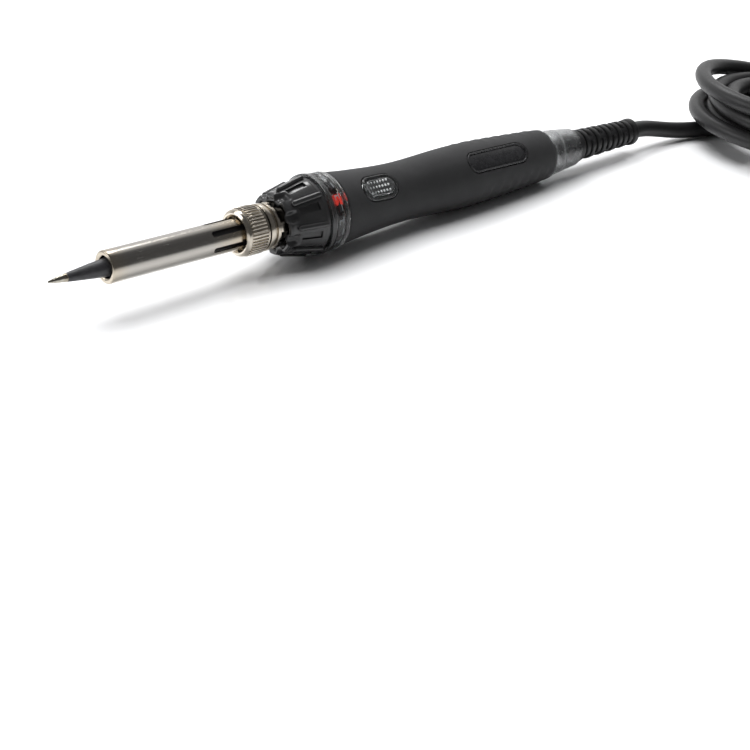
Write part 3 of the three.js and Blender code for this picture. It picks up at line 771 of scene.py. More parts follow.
def plain_finish(name, tone, darker, low, high, grain_size=1.2, metallic=0.0):
    """A finish for an inner piece: two tones of one colour in a grain, with a matching polish."""
    made = Finish(name)
    grain = made.noise(grain_size, 4)
    made.bumps(grain, 0.02, 0.5)
    return made.set(
        Base_Color=made.mixed(made.spread(grain, 0.3, 0.7, 0, 1), tone, darker),
        Roughness=made.spread(grain, 0.3, 0.7, low, high), Metallic=metallic,
    )


def board_finish():
    """Green solder mask with copper tracks below it that run along and across the board."""
    made = Finish("circuit_mask")
    x, y, _ = made.axes()
    lanes = made.maths("SINE", made.maths("MULTIPLY", y, 5.2))
    steps = made.maths("SINE", made.maths("MULTIPLY", made.maths("ADD", x, made.noise(0.3)), 2.1))
    track = made.spread(made.maths("MAXIMUM", lanes, steps), 0.72, 0.8, 0, 1)
    made.bumps(track, 0.03)
    return made.set(
        Base_Color=made.mixed(track, (0.012, 0.13, 0.04), (0.03, 0.24, 0.08)),
        Roughness=made.spread(track, 0, 1, 0.42, 0.3),
    )


FINISHES = {}


def finish(maker, *words):
    key = (maker.__name__, *words)
    if key not in FINISHES:
        FINISHES[key] = maker(*words)
    return FINISHES[key]


def frosted():
    return finish(clear_finish, "frosted_moulding", 0.16, 0.28, 0.92, 0.50)


# ---- the stage ----
LENS = 76.88
CAMERA_AT = (-0.28187, -0.30652, 0.16917)
CAMERA_RIGHT = Vector((0.74478, -0.66692, 0.02280))
CAMERA_DOWN = Vector((-0.29082, -0.35514, -0.88843))
CAMERA_AHEAD = Vector((0.60061, 0.65505, -0.45845))
BACKDROP_WAY = Vector((0.55, 0.83, 0.06))
BACKDROP_TONES = (
    (0.0, (0.10, 0.10, 0.10)),
    (0.66, (0.12, 0.12, 0.123)),
    (0.84, (0.95, 0.95, 0.95)),
    (1.0, (1.0, 1.0, 1.0)),
)


def make_camera():
    scene = bpy.context.scene
    scene.view_settings.view_transform = "Standard"
    data = bpy.data.cameras.new("camera")
    data.lens = LENS
    data.sensor_width = 36
    data.clip_start = 0.01
    camera = bpy.data.objects.new("camera", data)
    turn = Matrix((CAMERA_RIGHT, -CAMERA_DOWN, -CAMERA_AHEAD)).transposed()
    camera.matrix_world = Matrix.Translation(CAMERA_AT) @ turn.to_4x4()
    scene.collection.objects.link(camera)
    scene.camera = camera


def make_table():
    made = Finish("table_top", Matrix())
    cloud = made.noise(0.02, 2)
    made.bumps(made.noise(0.05, 2), 0.01, 0.2)
    top = made.set(
        Base_Color=made.mixed(cloud, shade("floor"), scaled(shade("floor"), 0.99)),
        Roughness=made.spread(cloud, 0.3, 0.7, 0.07, 0.10),
    )
    floor = new_piece("table", block(-3000, 3000, -3000, 3000, -20, 0))
    floor.data.materials.append(top)


def make_backdrop():
    """A white wall behind the iron and a dark room in front of it, which the metal mirrors."""
    world = bpy.data.worlds.new("studio")
    bpy.context.scene.world = world
    world.use_nodes = True
    made = Nodes(world.node_tree)
    away = made.node("ShaderNodeVectorMath", operation="DOT_PRODUCT")
    away.inputs[1].default_value = BACKDROP_WAY.normalized()
    made.link(made.node("ShaderNodeTexCoord").outputs["Generated"], away.inputs[0])
    spread = made.node("ShaderNodeMapRange")
    spread.inputs["From Min"].default_value = -1
    made.link(away.outputs["Value"], spread.inputs["Value"])
    tones = made.node("ShaderNodeValToRGB")
    stops = tones.color_ramp.elements
    stops.new(BACKDROP_TONES[1][0])
    stops.new(BACKDROP_TONES[2][0])
    for stop, (_, tone) in zip(stops, BACKDROP_TONES):
        stop.color = (*tone, 1)
    made.link(spread.outputs["Result"], tones.inputs[0])
    background = next(n for n in world.node_tree.nodes if n.type == "BACKGROUND")
    made.link(tones.outputs[0], background.inputs["Color"])
    background.inputs["Strength"].default_value = 1.0


def make_lights():
    for name, place, aim, size, power, shines in (
        ("overhead_panel", (0.15, 0.30, 0.95), (0.02, 0, 0), (1.1, 0.9), 17.0, False),
        ("left_panel", (-0.75, 0.55, 0.45), (0, 0, 0), (0.6, 0.4), 3.0, True),
        ("rim_panel", (0.30, 0.53, 0.78), (-0.02, 0, 0), (0.30, 0.25), 2.2, True),
    ):
        data = bpy.data.lights.new(name, "AREA")
        data.shape = "RECTANGLE"
        data.size, data.size_y = size
        data.energy = power
        lamp = bpy.data.objects.new(name, data)
        lamp.visible_glossy = shines
        direction = Vector(aim) - Vector(place)
        facing = direction.to_track_quat("-Z", "Y").to_matrix().to_4x4()
        lamp.matrix_world = Matrix.Translation(place) @ facing
        bpy.context.scene.collection.objects.link(lamp)


# ---- the lead ----
LEAD_ROUTE = (
    (118, -0.7, 5.2), (124, -1.6, 3.9), (130, -3.2, 3.0), (136, -5.4, 2.7), (142, -8, 2.7),
    (148, -11, 2.75), (154, -13.9, 3.4), (160, -17, 5.3), (165.5, -21.2, 8.0), (169.6, -26.3, 10.5),
)
PLUG_ROUTE = (
    (167, 6.3, 7.4), (173, 6.5, 6.5), (178.5, 6.7, 5.6), (183, 7, 4.4), (187, 7, 3.5),
    (193.5, 5.97, 2.8), (199.3, 3, 2.7), (204, -1.66, 2.9), (207, -7.5, 3.4), (208, -14, 4.2),
)
COIL_CENTRE = (158, -28)
COIL_RADII = (33.8, 28.6, 23.4)
COIL_HEIGHTS = (2.6, 7.8, 13.0)
COIL_OUTSIDE = 36.4
COIL_LEAN = math.radians(5.6)
COIL_LEAN_TOWARDS = math.radians(137)
CLIMB_RADIUS = 21.0
CLIMB_ENDS = math.radians(-112)
CLIMB_STEPS = 7
JOG = 96
TOP_TURN = 120
LEAVES_AT = 1950
STEP = 15


def on_axis(x, drop=0.0):
    point = IRON @ Vector((x * MM, 0, 0)) / MM
    return Vector((point.x, point.y, point.z - drop))


def coil_place():
    axis = Vector((math.sin(COIL_LEAN_TOWARDS), -math.cos(COIL_LEAN_TOWARDS), 0))
    raise_by = COIL_OUTSIDE * math.sin(COIL_LEAN) + 0.1
    return Matrix.Translation((*COIL_CENTRE, raise_by)) @ Matrix.Rotation(COIL_LEAN, 4, axis)


def climb_points():
    """The lead climbs out of the hole and over the inner turns, onto the top outer turn."""
    reach = COIL_RADII[0] - CLIMB_RADIUS
    centre = Vector((reach * math.cos(CLIMB_ENDS), reach * math.sin(CLIMB_ENDS), COIL_HEIGHTS[2]))
    points = []
    for k in range(CLIMB_STEPS, 0, -1):
        turn = CLIMB_ENDS + k * math.radians(18)
        drop = 0.4 * max(k - CLIMB_STEPS + 2, 0) ** 2
        points.append(centre + Vector((CLIMB_RADIUS * math.cos(turn), CLIMB_RADIUS * math.sin(turn), -drop)))
    return points


def turn_at(s):
    """Radius and height of the lead in the coil, after it has run round it by s degrees."""
    outer, middle, inner = COIL_RADII
    low, mid, top = COIL_HEIGHTS
    moves = (
        (TOP_TURN, top, mid, "height"),
        (TOP_TURN + 360 - JOG, outer, middle, "radius"),
        (TOP_TURN + 720 - JOG, middle, inner, "radius"),
        (TOP_TURN + 1080 - 2 * JOG, mid, low, "height"),
        (TOP_TURN + 1440 - 3 * JOG, inner, middle, "radius"),
        (TOP_TURN + 1800 - 3 * JOG, middle, outer, "radius"),
    )
    radius, height = outer, top
    for start, before, after, what in moves:
        if s <= start:
            break
        value = before + (after - before) * eased(s, start, start + JOG)
        if what == "height":
            height = value
        else:
            radius = value
    return radius, height


def coil_points():
    points = []
    for s in range(0, LEAVES_AT + 1, STEP):
        radius, height = turn_at(s)
        angle = CLIMB_ENDS - math.radians(s)
        points.append(Vector((radius * math.cos(angle), radius * math.sin(angle), height)))
    return points


def lead_points():
    """The lead's whole run from the strain relief, through the coil, to the plug, in millimetres."""
    place = coil_place()
    run = [on_axis(X_LEAD + 0.3), on_axis(X_LEAD + 6, 0.1), *(Vector(p) for p in LEAD_ROUTE)]
    run += [place @ p for p in climb_points()]
    run += [place @ p for p in coil_points()]
    run += [Vector(p) for p in PLUG_ROUTE]
    return relaxed(smooth_line(run, 4), 60)


def make_lead():
    bore = mm(sizes("iron_lead").diameter) / 2
    line = lead_points()
    curve = bpy.data.curves.new("mains_lead", "CURVE")
    curve.dimensions = "3D"
    curve.bevel_depth = bore * MM
    curve.bevel_resolution = 6
    curve.use_fill_caps = True
    spline = curve.splines.new("POLY")
    spline.points.add(len(line) - 1)
    for point, place in zip(spline.points, line):
        point.co = (*(place * MM), 1)
    spline.use_smooth = True
    lead = bpy.data.objects.new("mains_lead", curve)
    bpy.context.scene.collection.objects.link(lead)
    settled(lead, "handle", finish(lead_finish), ("lead_tube", "lead_coil", "plug_lead"))
    total = sum((b - a).length for a, b in zip(line, line[1:]))
    return lead, line[0] * MM, total * MM


# ---- the hot end ----
def make_tip():
    profile = rounded([
        (0, 0), (0.12, 0.26, 0.2), (2.6, 0.76, 6), (6.2, 1.25, 12), (11.6, 1.9, 12), (X_MOUTH, 2.3, 10),
        (X_MOUTH + 5, 3.25, 1.5), (X_NUT + 3.3, 3.25, 0.3), (X_NUT + 3.3, 2.15, 0.2),
        (X_MOUTH + 7, 2.15, 0.2), (X_MOUTH + 6, 0),
    ], closed=False)
    form = turned(profile, 96, closed=False)
    laid("tip", form, 35, "tip", finish(tip_finish), ("soldering_tip",))


def make_sleeve():
    given = sizes("iron_hot_end")
    outside = mm(given.sleeve_radius)
    inside = outside - 0.45
    rear = X_NUT + 3.4
    stations = [(X_MOUTH + 3 + k * (rear - 4 - X_MOUTH) / 24, outside) for k in range(24)]
    profile = rounded([
        (X_MOUTH + 0.35, 2.85, 0.12), (X_MOUTH, 3.2, 0.35), (X_MOUTH, outside, 1.15), *stations,
        (rear - 1, outside, 0.1), (rear - 1, outside + 0.85, 0.15), (rear, outside + 0.85, 0.15),
        (rear, inside, 0.1), (X_MOUTH + 1.1, inside, 0.7), (X_MOUTH + 0.7, 2.85, 0.1),
    ], steps=7)
    sleeve = new_piece("sleeve", turned(profile, 144))
    start = X_NUT - 9.4
    end = rear - 2
    half = mm(given.slot_width) / 2
    rim = [(math.cos(math.pi * k / 12), math.sin(math.pi * k / 12)) for k in range(13)]
    outline = [(start + half - half * v, half * u) for u, v in rim]
    outline += [(end - half + half * v, -half * u) for u, v in rim]
    slots = new_piece("slots", prism(outline, inside - 1.2, outside + 2))
    patterned(slots, tree_of(round_tree), None, count=given.slots, first_turn=0.0)
    cut_away(sleeve, [slots])
    placed(shaded(sleeve, 40))
    settled(sleeve, "sleeve", finish(sleeve_finish), ("tip_sleeve",))


def make_nut():
    given = sizes("iron_hot_end")
    radius = mm(given.nut_radius)
    hole = mm(given.sleeve_radius) + 0.3
    core = radius - 0.5
    profile = rounded([
        (X_NUT + 0.5, hole, 0.15), (X_NUT, hole + 0.55, 0.2), (X_NUT, radius - 1.05, 0.2),
        (X_NUT + 0.45, radius - 0.35, 0.35), (X_NUT + 1.15, radius - 0.2, 0.3),
        (X_NUT + 1.5, core - 0.15, 0.15), (X_NUT + 1.9, core, 0.1), (X_NUT + 6.5, core, 0.1),
        (X_NUT + 6.75, core - 0.1, 0.1),
        (X_COLLAR - 0.25, radius - 0.3, 0.2), (X_COLLAR, radius - 0.55, 0.15), (X_COLLAR, hole + 1.15, 0.1),
        (X_NUT + 2.1, hole + 1.15, 0.1), (X_NUT + 2.1, hole, 0.1),
    ], steps=5)
    laid("nut", turned(profile, 132), 40, "nut", finish(nickel_finish), ("knurled_nut",))

    half = 0.27
    rows = []
    for x, lift in ((0, -0.1), (0.12, 0.34), (0.4, 0.48), (4.55, 0.48), (4.83, 0.34), (4.95, -0.1)):
        wide = half * (1 if 0.1 < x < 4.9 else 0.85)
        rows.append([(X_NUT + 1.6 + x, wide * w, core - 0.12 + (lift + 0.12) * h) for w, h in (
            (-1, 0), (-0.75, 0.72), (-0.3, 1), (0.3, 1), (0.75, 0.72), (1, 0))])
    points = [p for row in rows for p in row]
    across = len(rows[0])
    teeth = new_piece("nut_teeth", (points, strips(len(rows), across) + ends(len(points), across)))
    patterned(teeth, tree_of(round_tree), finish(nickel_finish), count=given.teeth, first_turn=0.03)
    placed(shaded(teeth, 50))
    settled(teeth, "nut", finish(nickel_finish))


def make_nipple():
    bore = 4.0
    collar = X_COLLAR + 0.3
    profile = rounded([
        (X_NUT + 3.7, bore), (X_NUT + 3.7, 4.8, 0.2), (collar, 4.8, 0.1), (collar, 6.3, 0.2),
        (collar + 1.3, 6.3, 0.25), (collar + 1.45, 5.25, 0.15), (collar + 2.3, 5.25, 0.15),
        (collar + 2.45, 6.0, 0.15), (collar + 3.4, 6.0, 0.2), (collar + 3.6, 4.8, 0.15),
        (X_RIM + 4.5, 4.8, 0.2), (X_RIM + 4.5, bore),
    ])
    laid("nipple", turned(profile, 120), 40, "handle", finish(nickel_finish), ("threaded_nipple",))
    lugs = new_piece("nipple_lugs", block(collar + 3.1, X_KNOB + 1.0, -1.3, 1.3, 4.5, 6.1))
    bevelled(lugs, 0.22)
    patterned(lugs, tree_of(round_tree), finish(nickel_finish), count=sizes("iron_hot_end").lugs,
              first_turn=math.radians(30))
    placed(shaded(lugs, 50))
    settled(lugs, "handle", finish(nickel_finish))


# ---- the temperature control ----
def knob_land(x):
    return 8.4 + 1.8 * min(max((x - X_KNOB - 2.4) / 7.8, 0), 1)


def make_knob():
    given = sizes("iron_control")

    def lobed(x, angle, radius):
        """The front of the knob is scalloped between its ribs."""
        if radius < 7.2 or x > X_KNOB + 4.2 or x < X_KNOB - 0.1:
            return radius
        wave = 0.5 + 0.5 * math.cos(given.ribs * (angle - given.first_rib))
        depth = 1.25 * (1 - eased(x, X_KNOB + 2.2, X_KNOB + 3.6))
        return radius - depth * (1 - eased(wave, 0.12, 0.62))

    rise = [(X_KNOB + 2.6 + k * 0.4, knob_land(X_KNOB + 2.6 + k * 0.4)) for k in range(19)]
    profile = rounded([
        (X_KNOB + 0.25, 6.9, 0.2), (X_KNOB, 7.35, 0.2), (X_KNOB, 8.25, 0.55), (X_KNOB + 0.8, 8.45, 0.5),
        (X_KNOB + 1.5, 8.42), (X_KNOB + 2.0, 8.4), *rise, (X_DIAL - 1.35, 10.2, 0.2),
        (X_DIAL - 1.25, 10.3, 0.15), (X_DIAL, 10.3, 0.2), (X_DIAL, 8.2), (X_KNOB + 5.6, 7.2),
        (X_KNOB + 4.6, 6.1), (X_KNOB + 4.6, 5.1),
        (X_KNOB + 2, 5.1), (X_KNOB + 2, 6.9),
    ], steps=6)
    knob = new_piece("knob", turned(profile, 192, shape=lobed))
    start = X_KNOB + 2.2
    end = X_DIAL - 1.35
    slope = math.atan((knob_land(end) - knob_land(start)) / (end - start))
    lift = Matrix.Translation((start, 0, knob_land(start))) @ Matrix.Rotation(-slope, 4, "Y")
    recess = new_piece("recesses", block(1.5, end - start - 0.9, -1.05, 1.05, -0.75, 3))
    moved(recess, lift)
    pitch = 2 * math.pi / given.ribs
    patterned(recess, tree_of(round_tree), None, count=given.ribs, first_turn=given.first_rib + 0.36 * pitch)
    cut_away(knob, [recess])
    bevelled(knob, 0.16, 2, 50)
    placed(shaded(knob, 40))
    settled(knob, "knob", finish(moulding_finish), ("temperature_knob",))

    radius = mm(given.rib_radius)
    long = end - start + 0.5
    outline = [(radius - radius * math.cos(math.pi * k / 12), radius * math.sin(math.pi * k / 12))
               for k in range(7)]
    outline += [(long * k / 6, radius) for k in range(2, 6)] + [(long, radius), (long, 0)]
    ribs = new_piece("knob_ribs", turned(outline, 24, closed=False))
    moved(ribs, lift @ Matrix.Translation((0, 0, 0.12)))
    patterned(ribs, tree_of(round_tree), finish(moulding_finish), count=given.ribs,
              first_turn=given.first_rib)
    placed(shaded(ribs, 50))
    settled(ribs, "knob", finish(moulding_finish))


def make_dial():
    given = sizes("iron_control")
    outside = mm(given.dial_radius)
    start = X_DIAL + 0.3
    end = X_DIAL + 4.7
    inner = 8.4
    flange = rounded([
        (start, inner), (start, outside, 0.3), (start + 1.4, outside, 0.3), (start + 1.4, inner),
    ])
    frost = finish(clear_finish, "frosted_flange", 0.12, 0.22, 0.9, 0.28)
    laid("dial_flange", turned(flange, 160), 40, "knob", frost, ("dial_ring",))
    band = rounded([
        (start + 1.45, inner), (start + 1.45, outside - 0.75, 0.08), (start + 1.9, outside - 0.75, 0.08),
        (start + 2.0, outside - 0.35, 0.15), (end, outside - 0.35, 0.25), (end, inner),
    ])
    smoky = finish(clear_finish, "smoky_band", 0.05, 0.12, 1.0, 0.42)
    laid("dial_band", turned(band, 160), 40, "knob", smoky)

    level = outside - 0.33

    def printed(x0, x1, half_turn):
        rows = 9
        points = []
        for depth in (0.03, 0.0):
            for x in (x0, x1):
                for k in range(rows):
                    angle = half_turn * (2 * k / (rows - 1) - 1)
                    points.append((x, (level - depth) * math.sin(angle), (level - depth) * math.cos(angle)))
        faces = []
        for k in range(rows - 1):
            for low, high in ((0, 1), (2, 3), (0, 2), (1, 3)):
                faces.append((low * rows + k, low * rows + k + 1, high * rows + k + 1, high * rows + k))
        last = rows - 1
        faces += [(0, rows, 3 * rows, 2 * rows), (last, rows + last, 3 * rows + last, 2 * rows + last)]
        return points, faces

    white = finish(print_finish, "dial_print", (0.20, 0.22, 0.23))
    dark = finish(print_finish, "dial_ink", (0.02, 0.02, 0.022))
    step = 2 * math.pi / given.marks
    for name, x0, x1, half, number, first, ink in (
        ("dial_dashes", start + 3.55, start + 3.85, 0.085, given.dashes, 0.0, white),
        ("dial_marks", start + 2.35, start + 3.7, 0.018, given.marks, 0.0, white),
        ("dial_feet", start + 2.35, start + 2.6, 0.06, given.marks, 0.05, white),
        ("dial_edges", start + 2.75, start + 3.3, 0.10, given.marks, step / 2, dark),
    ):
        marks = new_piece(name, printed(x0, x1, half))
        patterned(marks, tree_of(round_tree), ink, count=number, first_turn=first)
        placed(shaded(marks, 50))
        settled(marks, "knob", ink)


def make_lamp():
    profile = rounded([
        (X_DIAL + 1.2, 0), (X_DIAL + 1.25, 0.7, 0.5), (X_DIAL + 2.4, 1.38, 1.0), (X_RIM + 2.2, 1.4, 0.15),
        (X_RIM + 2.2, 0),
    ], closed=False)
    lamp = new_piece("lamp", turned(profile, 40, closed=False))
    lamp.data.transform(Matrix.Translation((0, 0, LAMP_OFF_AXIS * MM)))
    placed(shaded(lamp, 40))
    settled(lamp, "handle", finish(lamp_finish), ("indicator_led",))


# ---- the handle ----
def make_housing():
    wall = 1.4
    depth = 1.9
    steps = 20
    stations = [X_GRIP + 0.3 + (X_TAIL - X_GRIP - 0.6) * k / steps for k in range(steps + 1)]
    outer = [(x, grip_radius(x) - depth) for x in stations]
    inner = [(x, r - wall) for x, r in reversed(outer)]
    tail = grip_radius(X_TAIL) - 0.35
    end = X_SEAM - 0.12

    def tail_radius(x):
        return tail + (5.75 - tail) * (x - X_TAIL) / 14

    profile = rounded([
        (X_RIM, 5.1), (X_RIM, 10.55, 0.2), (X_RIM + 0.45, 10.68, 0.25), (X_GRIP - 0.1, 10.68, 0.3),
        (X_GRIP + 0.05, 10.2, 0.1), *outer, (X_TAIL + 0.2, outer[-1][1]), (X_TAIL + 0.2, tail + 0.24, 0.22),
        (X_TAIL + 0.85, tail + 0.24, 0.22), (X_TAIL + 0.95, tail_radius(X_TAIL + 0.95), 0.08),
        (end, tail_radius(end), 0.2), (end, outer[-1][1] - wall), *inner, (X_RIM + 1.3, inner[-1][1]),
        (X_RIM + 1.3, 5.1),
    ])
    housing = new_piece("housing", turned(profile, 144))
    lamp_way = [(X_RIM - 1, 0), (X_RIM - 1, 1.7), (X_RIM + 3, 1.7), (X_RIM + 3, 0)]
    lamp_hole = new_piece("lamp_hole", turned(lamp_way, 40, closed=False))
    lamp_hole.data.transform(Matrix.Translation((0, 0, LAMP_OFF_AXIS * MM)))
    stem_hole = new_piece("stem_hole", turned([(0, 0), (0, 1.5), (12, 1.5), (12, 0)], 32, closed=False))
    stem_hole.data.transform(UNDER_BUTTON)
    cut_away(housing, [lamp_hole, stem_hole])
    placed(shaded(housing, 40))
    settled(housing, "handle", frosted(), ("inner_housing",))

    start = X_SEAM + 0.12
    inside = 4.3
    cap = rounded([
        (start, inside), (start, tail_radius(start), 0.2), (X_RELIEF - 0.5, tail_radius(X_RELIEF - 0.5), 0.4),
        (X_RELIEF, 5.1, 0.2), (X_RELIEF, 4.3, 0.1), (X_RELIEF - 1.6, 4.3, 0.1), (X_RELIEF - 2.6, inside, 0.2),
    ])
    laid("tail_cap", turned(cap, 144), 40, "handle", frosted(), ("tail_cap",))


def make_grip():
    given = sizes("iron_grip")
    height = mm(given.ridge_height)
    first = X_GRIP + 40
    pitch = (X_TAIL - 3 - first) / given.ridges

    def ridged(x, angle, radius):
        """Cross ridges on the rear flanks. They start later and fade out towards the long window."""
        if radius < grip_radius(x) - 0.8:
            return radius
        off = abs(math.atan2(math.sin(angle), math.cos(angle)))
        side = eased(off, math.radians(36), math.radians(58))
        begin = first + 13 * (1 - eased(off, math.radians(40), math.radians(115)))
        reach = eased(x, begin - 1, begin + 7) * (1 - eased(x, X_TAIL - 4.5, X_TAIL - 1.5))
        phase = ((x - first) / pitch) % 1.0
        wave = phase / 0.72 if phase < 0.72 else (1 - phase) / 0.28
        return radius + height * side * reach * (eased(wave, 0, 1) - 0.35)

    x0 = X_GRIP + 0.3
    steps = 260
    stations = [x0 + 0.4 + (X_TAIL - 0.5 - x0 - 0.4) * k / steps for k in range(steps + 1)]
    outer = [(x, grip_radius(x)) for x in stations]
    inner = [(x, grip_radius(x) - 1.6) for x in reversed(stations[::13])]
    profile = [(x0, grip_radius(x0) - 1.6), (x0, grip_radius(x0) - 0.45), (x0 + 0.12, grip_radius(x0) - 0.14),
               *outer, (X_TAIL - 0.15, grip_radius(X_TAIL) - 0.12), (X_TAIL, grip_radius(X_TAIL) - 0.45),
               (X_TAIL, grip_radius(X_TAIL) - 1.6), *inner]
    grip = new_piece("grip", turned(profile, 144, shape=ridged))
    holes = []
    for name, x, size in (("button_hole", X_BUTTON, BUTTON_SIZE), ("window_hole", X_LABEL, LABEL_SIZE)):
        outline = [(x + u, v) for u, v in oblong_outline(size, 0, 20, 1)]
        holes.append(new_piece(name, prism(outline, 2, 14)))
    cut_away(grip, holes)
    placed(shaded(grip, 40))
    settled(grip, "handle", finish(rubber_finish), ("rubber_grip",))


def make_button():
    given = sizes("iron_grip")
    bezel = oblong_on_grip(X_BUTTON, BUTTON_SIZE, [
        (0.3, -1.6), (0.3, 0.0), (0.36, 0.16), (0.5, 0.25), (0.7, 0.22), (0.95, 0.05), (1.1, -0.02),
        (1.22, -0.1), (1.3, -0.25), (1.3, -1.6),
    ], closed=True)
    moulded = finish(clear_finish, "bezel_moulding", 0.06, 0.14, 0.92, 0.34)
    laid("button_bezel_moulding", bezel, 50, "handle", moulded, ("button_bezel",))

    pad_section = [(3.9, -0.7), (2.6, -0.7), (1.6, -0.7), (1.6, 0.2), (1.66, 0.36), (1.8, 0.45), (2.1, 0.46),
                   (2.4, 0.38), (2.6, 0.34), (3.2, 0.34), (3.9, 0.34)]
    pad = oblong_on_grip(X_BUTTON, BUTTON_SIZE, pad_section, closed=False)
    pale = finish(clear_finish, "button_moulding", 0.05, 0.12, 0.92, 0.60)
    laid("button", pad, 50, "button", pale, ("push_button",))
    stem = rounded([(4.4, 0), (4.4, 1.1, 0.15), (8.6, 1.1, 0.1), (8.6, 0)], closed=False)
    post = new_piece("button_stem", turned(stem, 32, closed=False))
    post.data.transform(UNDER_BUTTON)
    placed(shaded(post, 40))
    settled(post, "button", pale)

    rows = 4
    sides = 8
    points = [(0, 0, 0.24)]
    for k in range(1, rows + 1):
        angle = math.pi / 2 * k / rows
        for m in range(sides):
            turn = 2 * math.pi * m / sides
            points.append((0.30 * math.sin(angle) * math.cos(turn), 0.36 * math.sin(angle) * math.sin(turn),
                           0.24 * math.cos(angle)))
    faces = [(0, 1 + m, 1 + (m + 1) % sides) for m in range(sides)]
    for k in range(rows - 1):
        for m in range(sides):
            a = 1 + k * sides
            faces.append((a + m, a + sides + m, a + sides + (m + 1) % sides, a + (m + 1) % sides))
    faces.append(tuple(range(1 + (rows - 1) * sides, 1 + rows * sides)))
    dots = new_piece("button_dots", (points, faces))
    white = finish(print_finish, "dot_white", (0.86, 0.88, 0.88))
    patterned(dots, tree_of(field_tree), white, columns=given.dot_columns, rows=given.dot_rows,
              length=6.4 * MM, width=2.9 * MM, station=(X_BUTTON - 0.6) * MM,
              radius=(grip_radius(X_BUTTON) + 0.34) * MM)
    placed(shaded(dots, 60))
    settled(dots, "button", white)


def make_window():
    rim = oblong_on_grip(X_LABEL, LABEL_SIZE, [
        (0.3, -1.6), (0.3, -0.02), (0.36, 0.1), (0.48, 0.14), (0.62, 0.1), (0.72, -0.02), (0.9, -0.3),
        (0.9, -1.6),
    ], closed=True)
    laid("window_rim", rim, 50, "handle", finish(smoked_finish), ("label_window",))
    plate = [(3.4, -1.5), (0.85, -1.5), (0.85, -0.36), (1.0, -0.34), (1.6, -0.33), (2.4, -0.33), (3.4, -0.33)]
    glass = oblong_on_grip(X_LABEL, LABEL_SIZE, plate, closed=False)
    laid("window_plate", glass, 50, "handle", finish(smoked_finish))


def make_relief():
    given = sizes("iron_grip")
    bore = 2.75
    core = rounded([
        (X_RELIEF - 1.3, bore), (X_RELIEF - 1.3, 4.0, 0.2), (X_RELIEF + 0.3, 4.0, 0.1),
        (X_RELIEF + 0.3, 5.0, 0.3), (X_RELIEF + 2.2, 5.0, 0.35), (X_RELIEF + 2.5, 4.1, 0.2),
        (X_LEAD - 2.3, 3.45, 0.2), (X_LEAD - 2.0, 4.15, 0.3), (X_LEAD - 0.2, 4.25, 0.5),
        (X_LEAD, 3.3, 0.3), (X_LEAD, bore),
    ])
    laid("relief", turned(core, 96), 40, "handle", finish(lead_finish), ("strain_relief",))

    steps = 18
    half_turn = math.radians(77)
    profile = rounded([(-0.72, 3.6), (-0.72, 4.78, 0.35), (0.72, 4.78, 0.35), (0.72, 3.6)], steps=4)
    points = []
    for k in range(steps + 1):
        angle = half_turn * (2 * k / steps - 1)
        droop = 0.35 * max(abs(2 * k / steps - 1) - 0.86, 0) / 0.14
        for x, r in profile:
            radius = r - droop * (r > 4)
            points.append((x, radius * math.sin(angle), radius * math.cos(angle)))
    faces = strips(steps + 1, len(profile)) + ends(len(points), len(profile))
    first = X_RELIEF + 4.1
    pitch = (X_LEAD - 3.9 - first) / (given.relief_ribs - 1)
    for name, side in (("relief_rings_upper", 0.0), ("relief_rings_lower", math.pi)):
        rings = new_piece(name, turned_about_axis((points, faces), side))
        patterned(rings, tree_of(row_tree), finish(lead_finish), count=given.relief_ribs, first=first * MM,
                  pitch=pitch * MM, turn=math.pi / 2, last_scale=0.86)
        placed(shaded(rings, 50))
        settled(rings, "handle", finish(lead_finish))


# ---- the coil's tie and the plug ----
def make_tie():
    wall = 0.9
    clearance = 0.4
    inner = COIL_RADII[2] - 2.6 - clearance
    outer = COIL_OUTSIDE + clearance
    height = 15.6 + clearance
    middle = (inner + outer) / 2
    corner = 2.2
    outline = []
    for x, z, start in ((outer - corner, height - corner, 0), (inner + corner, height - corner, 90),
                        (inner + corner, corner - clearance, 180), (outer - corner, corner - clearance, 270)):
        for k in range(9):
            angle = math.radians(start + 90 * k / 8)
            outline.append((x + corner * math.cos(angle), z + corner * math.sin(angle),
                            math.cos(angle), math.sin(angle)))
    points = []
    section = ((-2.0, 0.25), (-1.7, 0.0), (1.7, 0.0), (2.0, 0.25), (2.0, 0.65), (1.7, wall), (-1.7, wall),
               (-2.0, 0.65))
    for x, z, nx, nz in outline:
        for y, out in section:
            points.append((x + nx * out, y, z + nz * out))
    faces = strips(len(outline), len(section), closed=True)
    place = coil_place()
    place = Matrix.Translation(place.to_translation() * MM) @ place.to_3x3().to_4x4()
    turn = Matrix.Rotation(math.radians(225), 4, "Z")
    tie = shaded(new_piece("lead_tie_strap", (points, faces), place @ turn), 40)
    settled(tie, "handle", finish(lead_finish), ("lead_tie",))
    knot_form = block(middle - 2.6, middle + 2.6, -2.6, 2.6, height + 0.5, height + 2.6)
    knot = new_piece("lead_tie_head", knot_form, place @ turn)
    bevelled(knot, 0.6)
    shaded(knot, 40)
    settled(knot, "handle", finish(lead_finish))


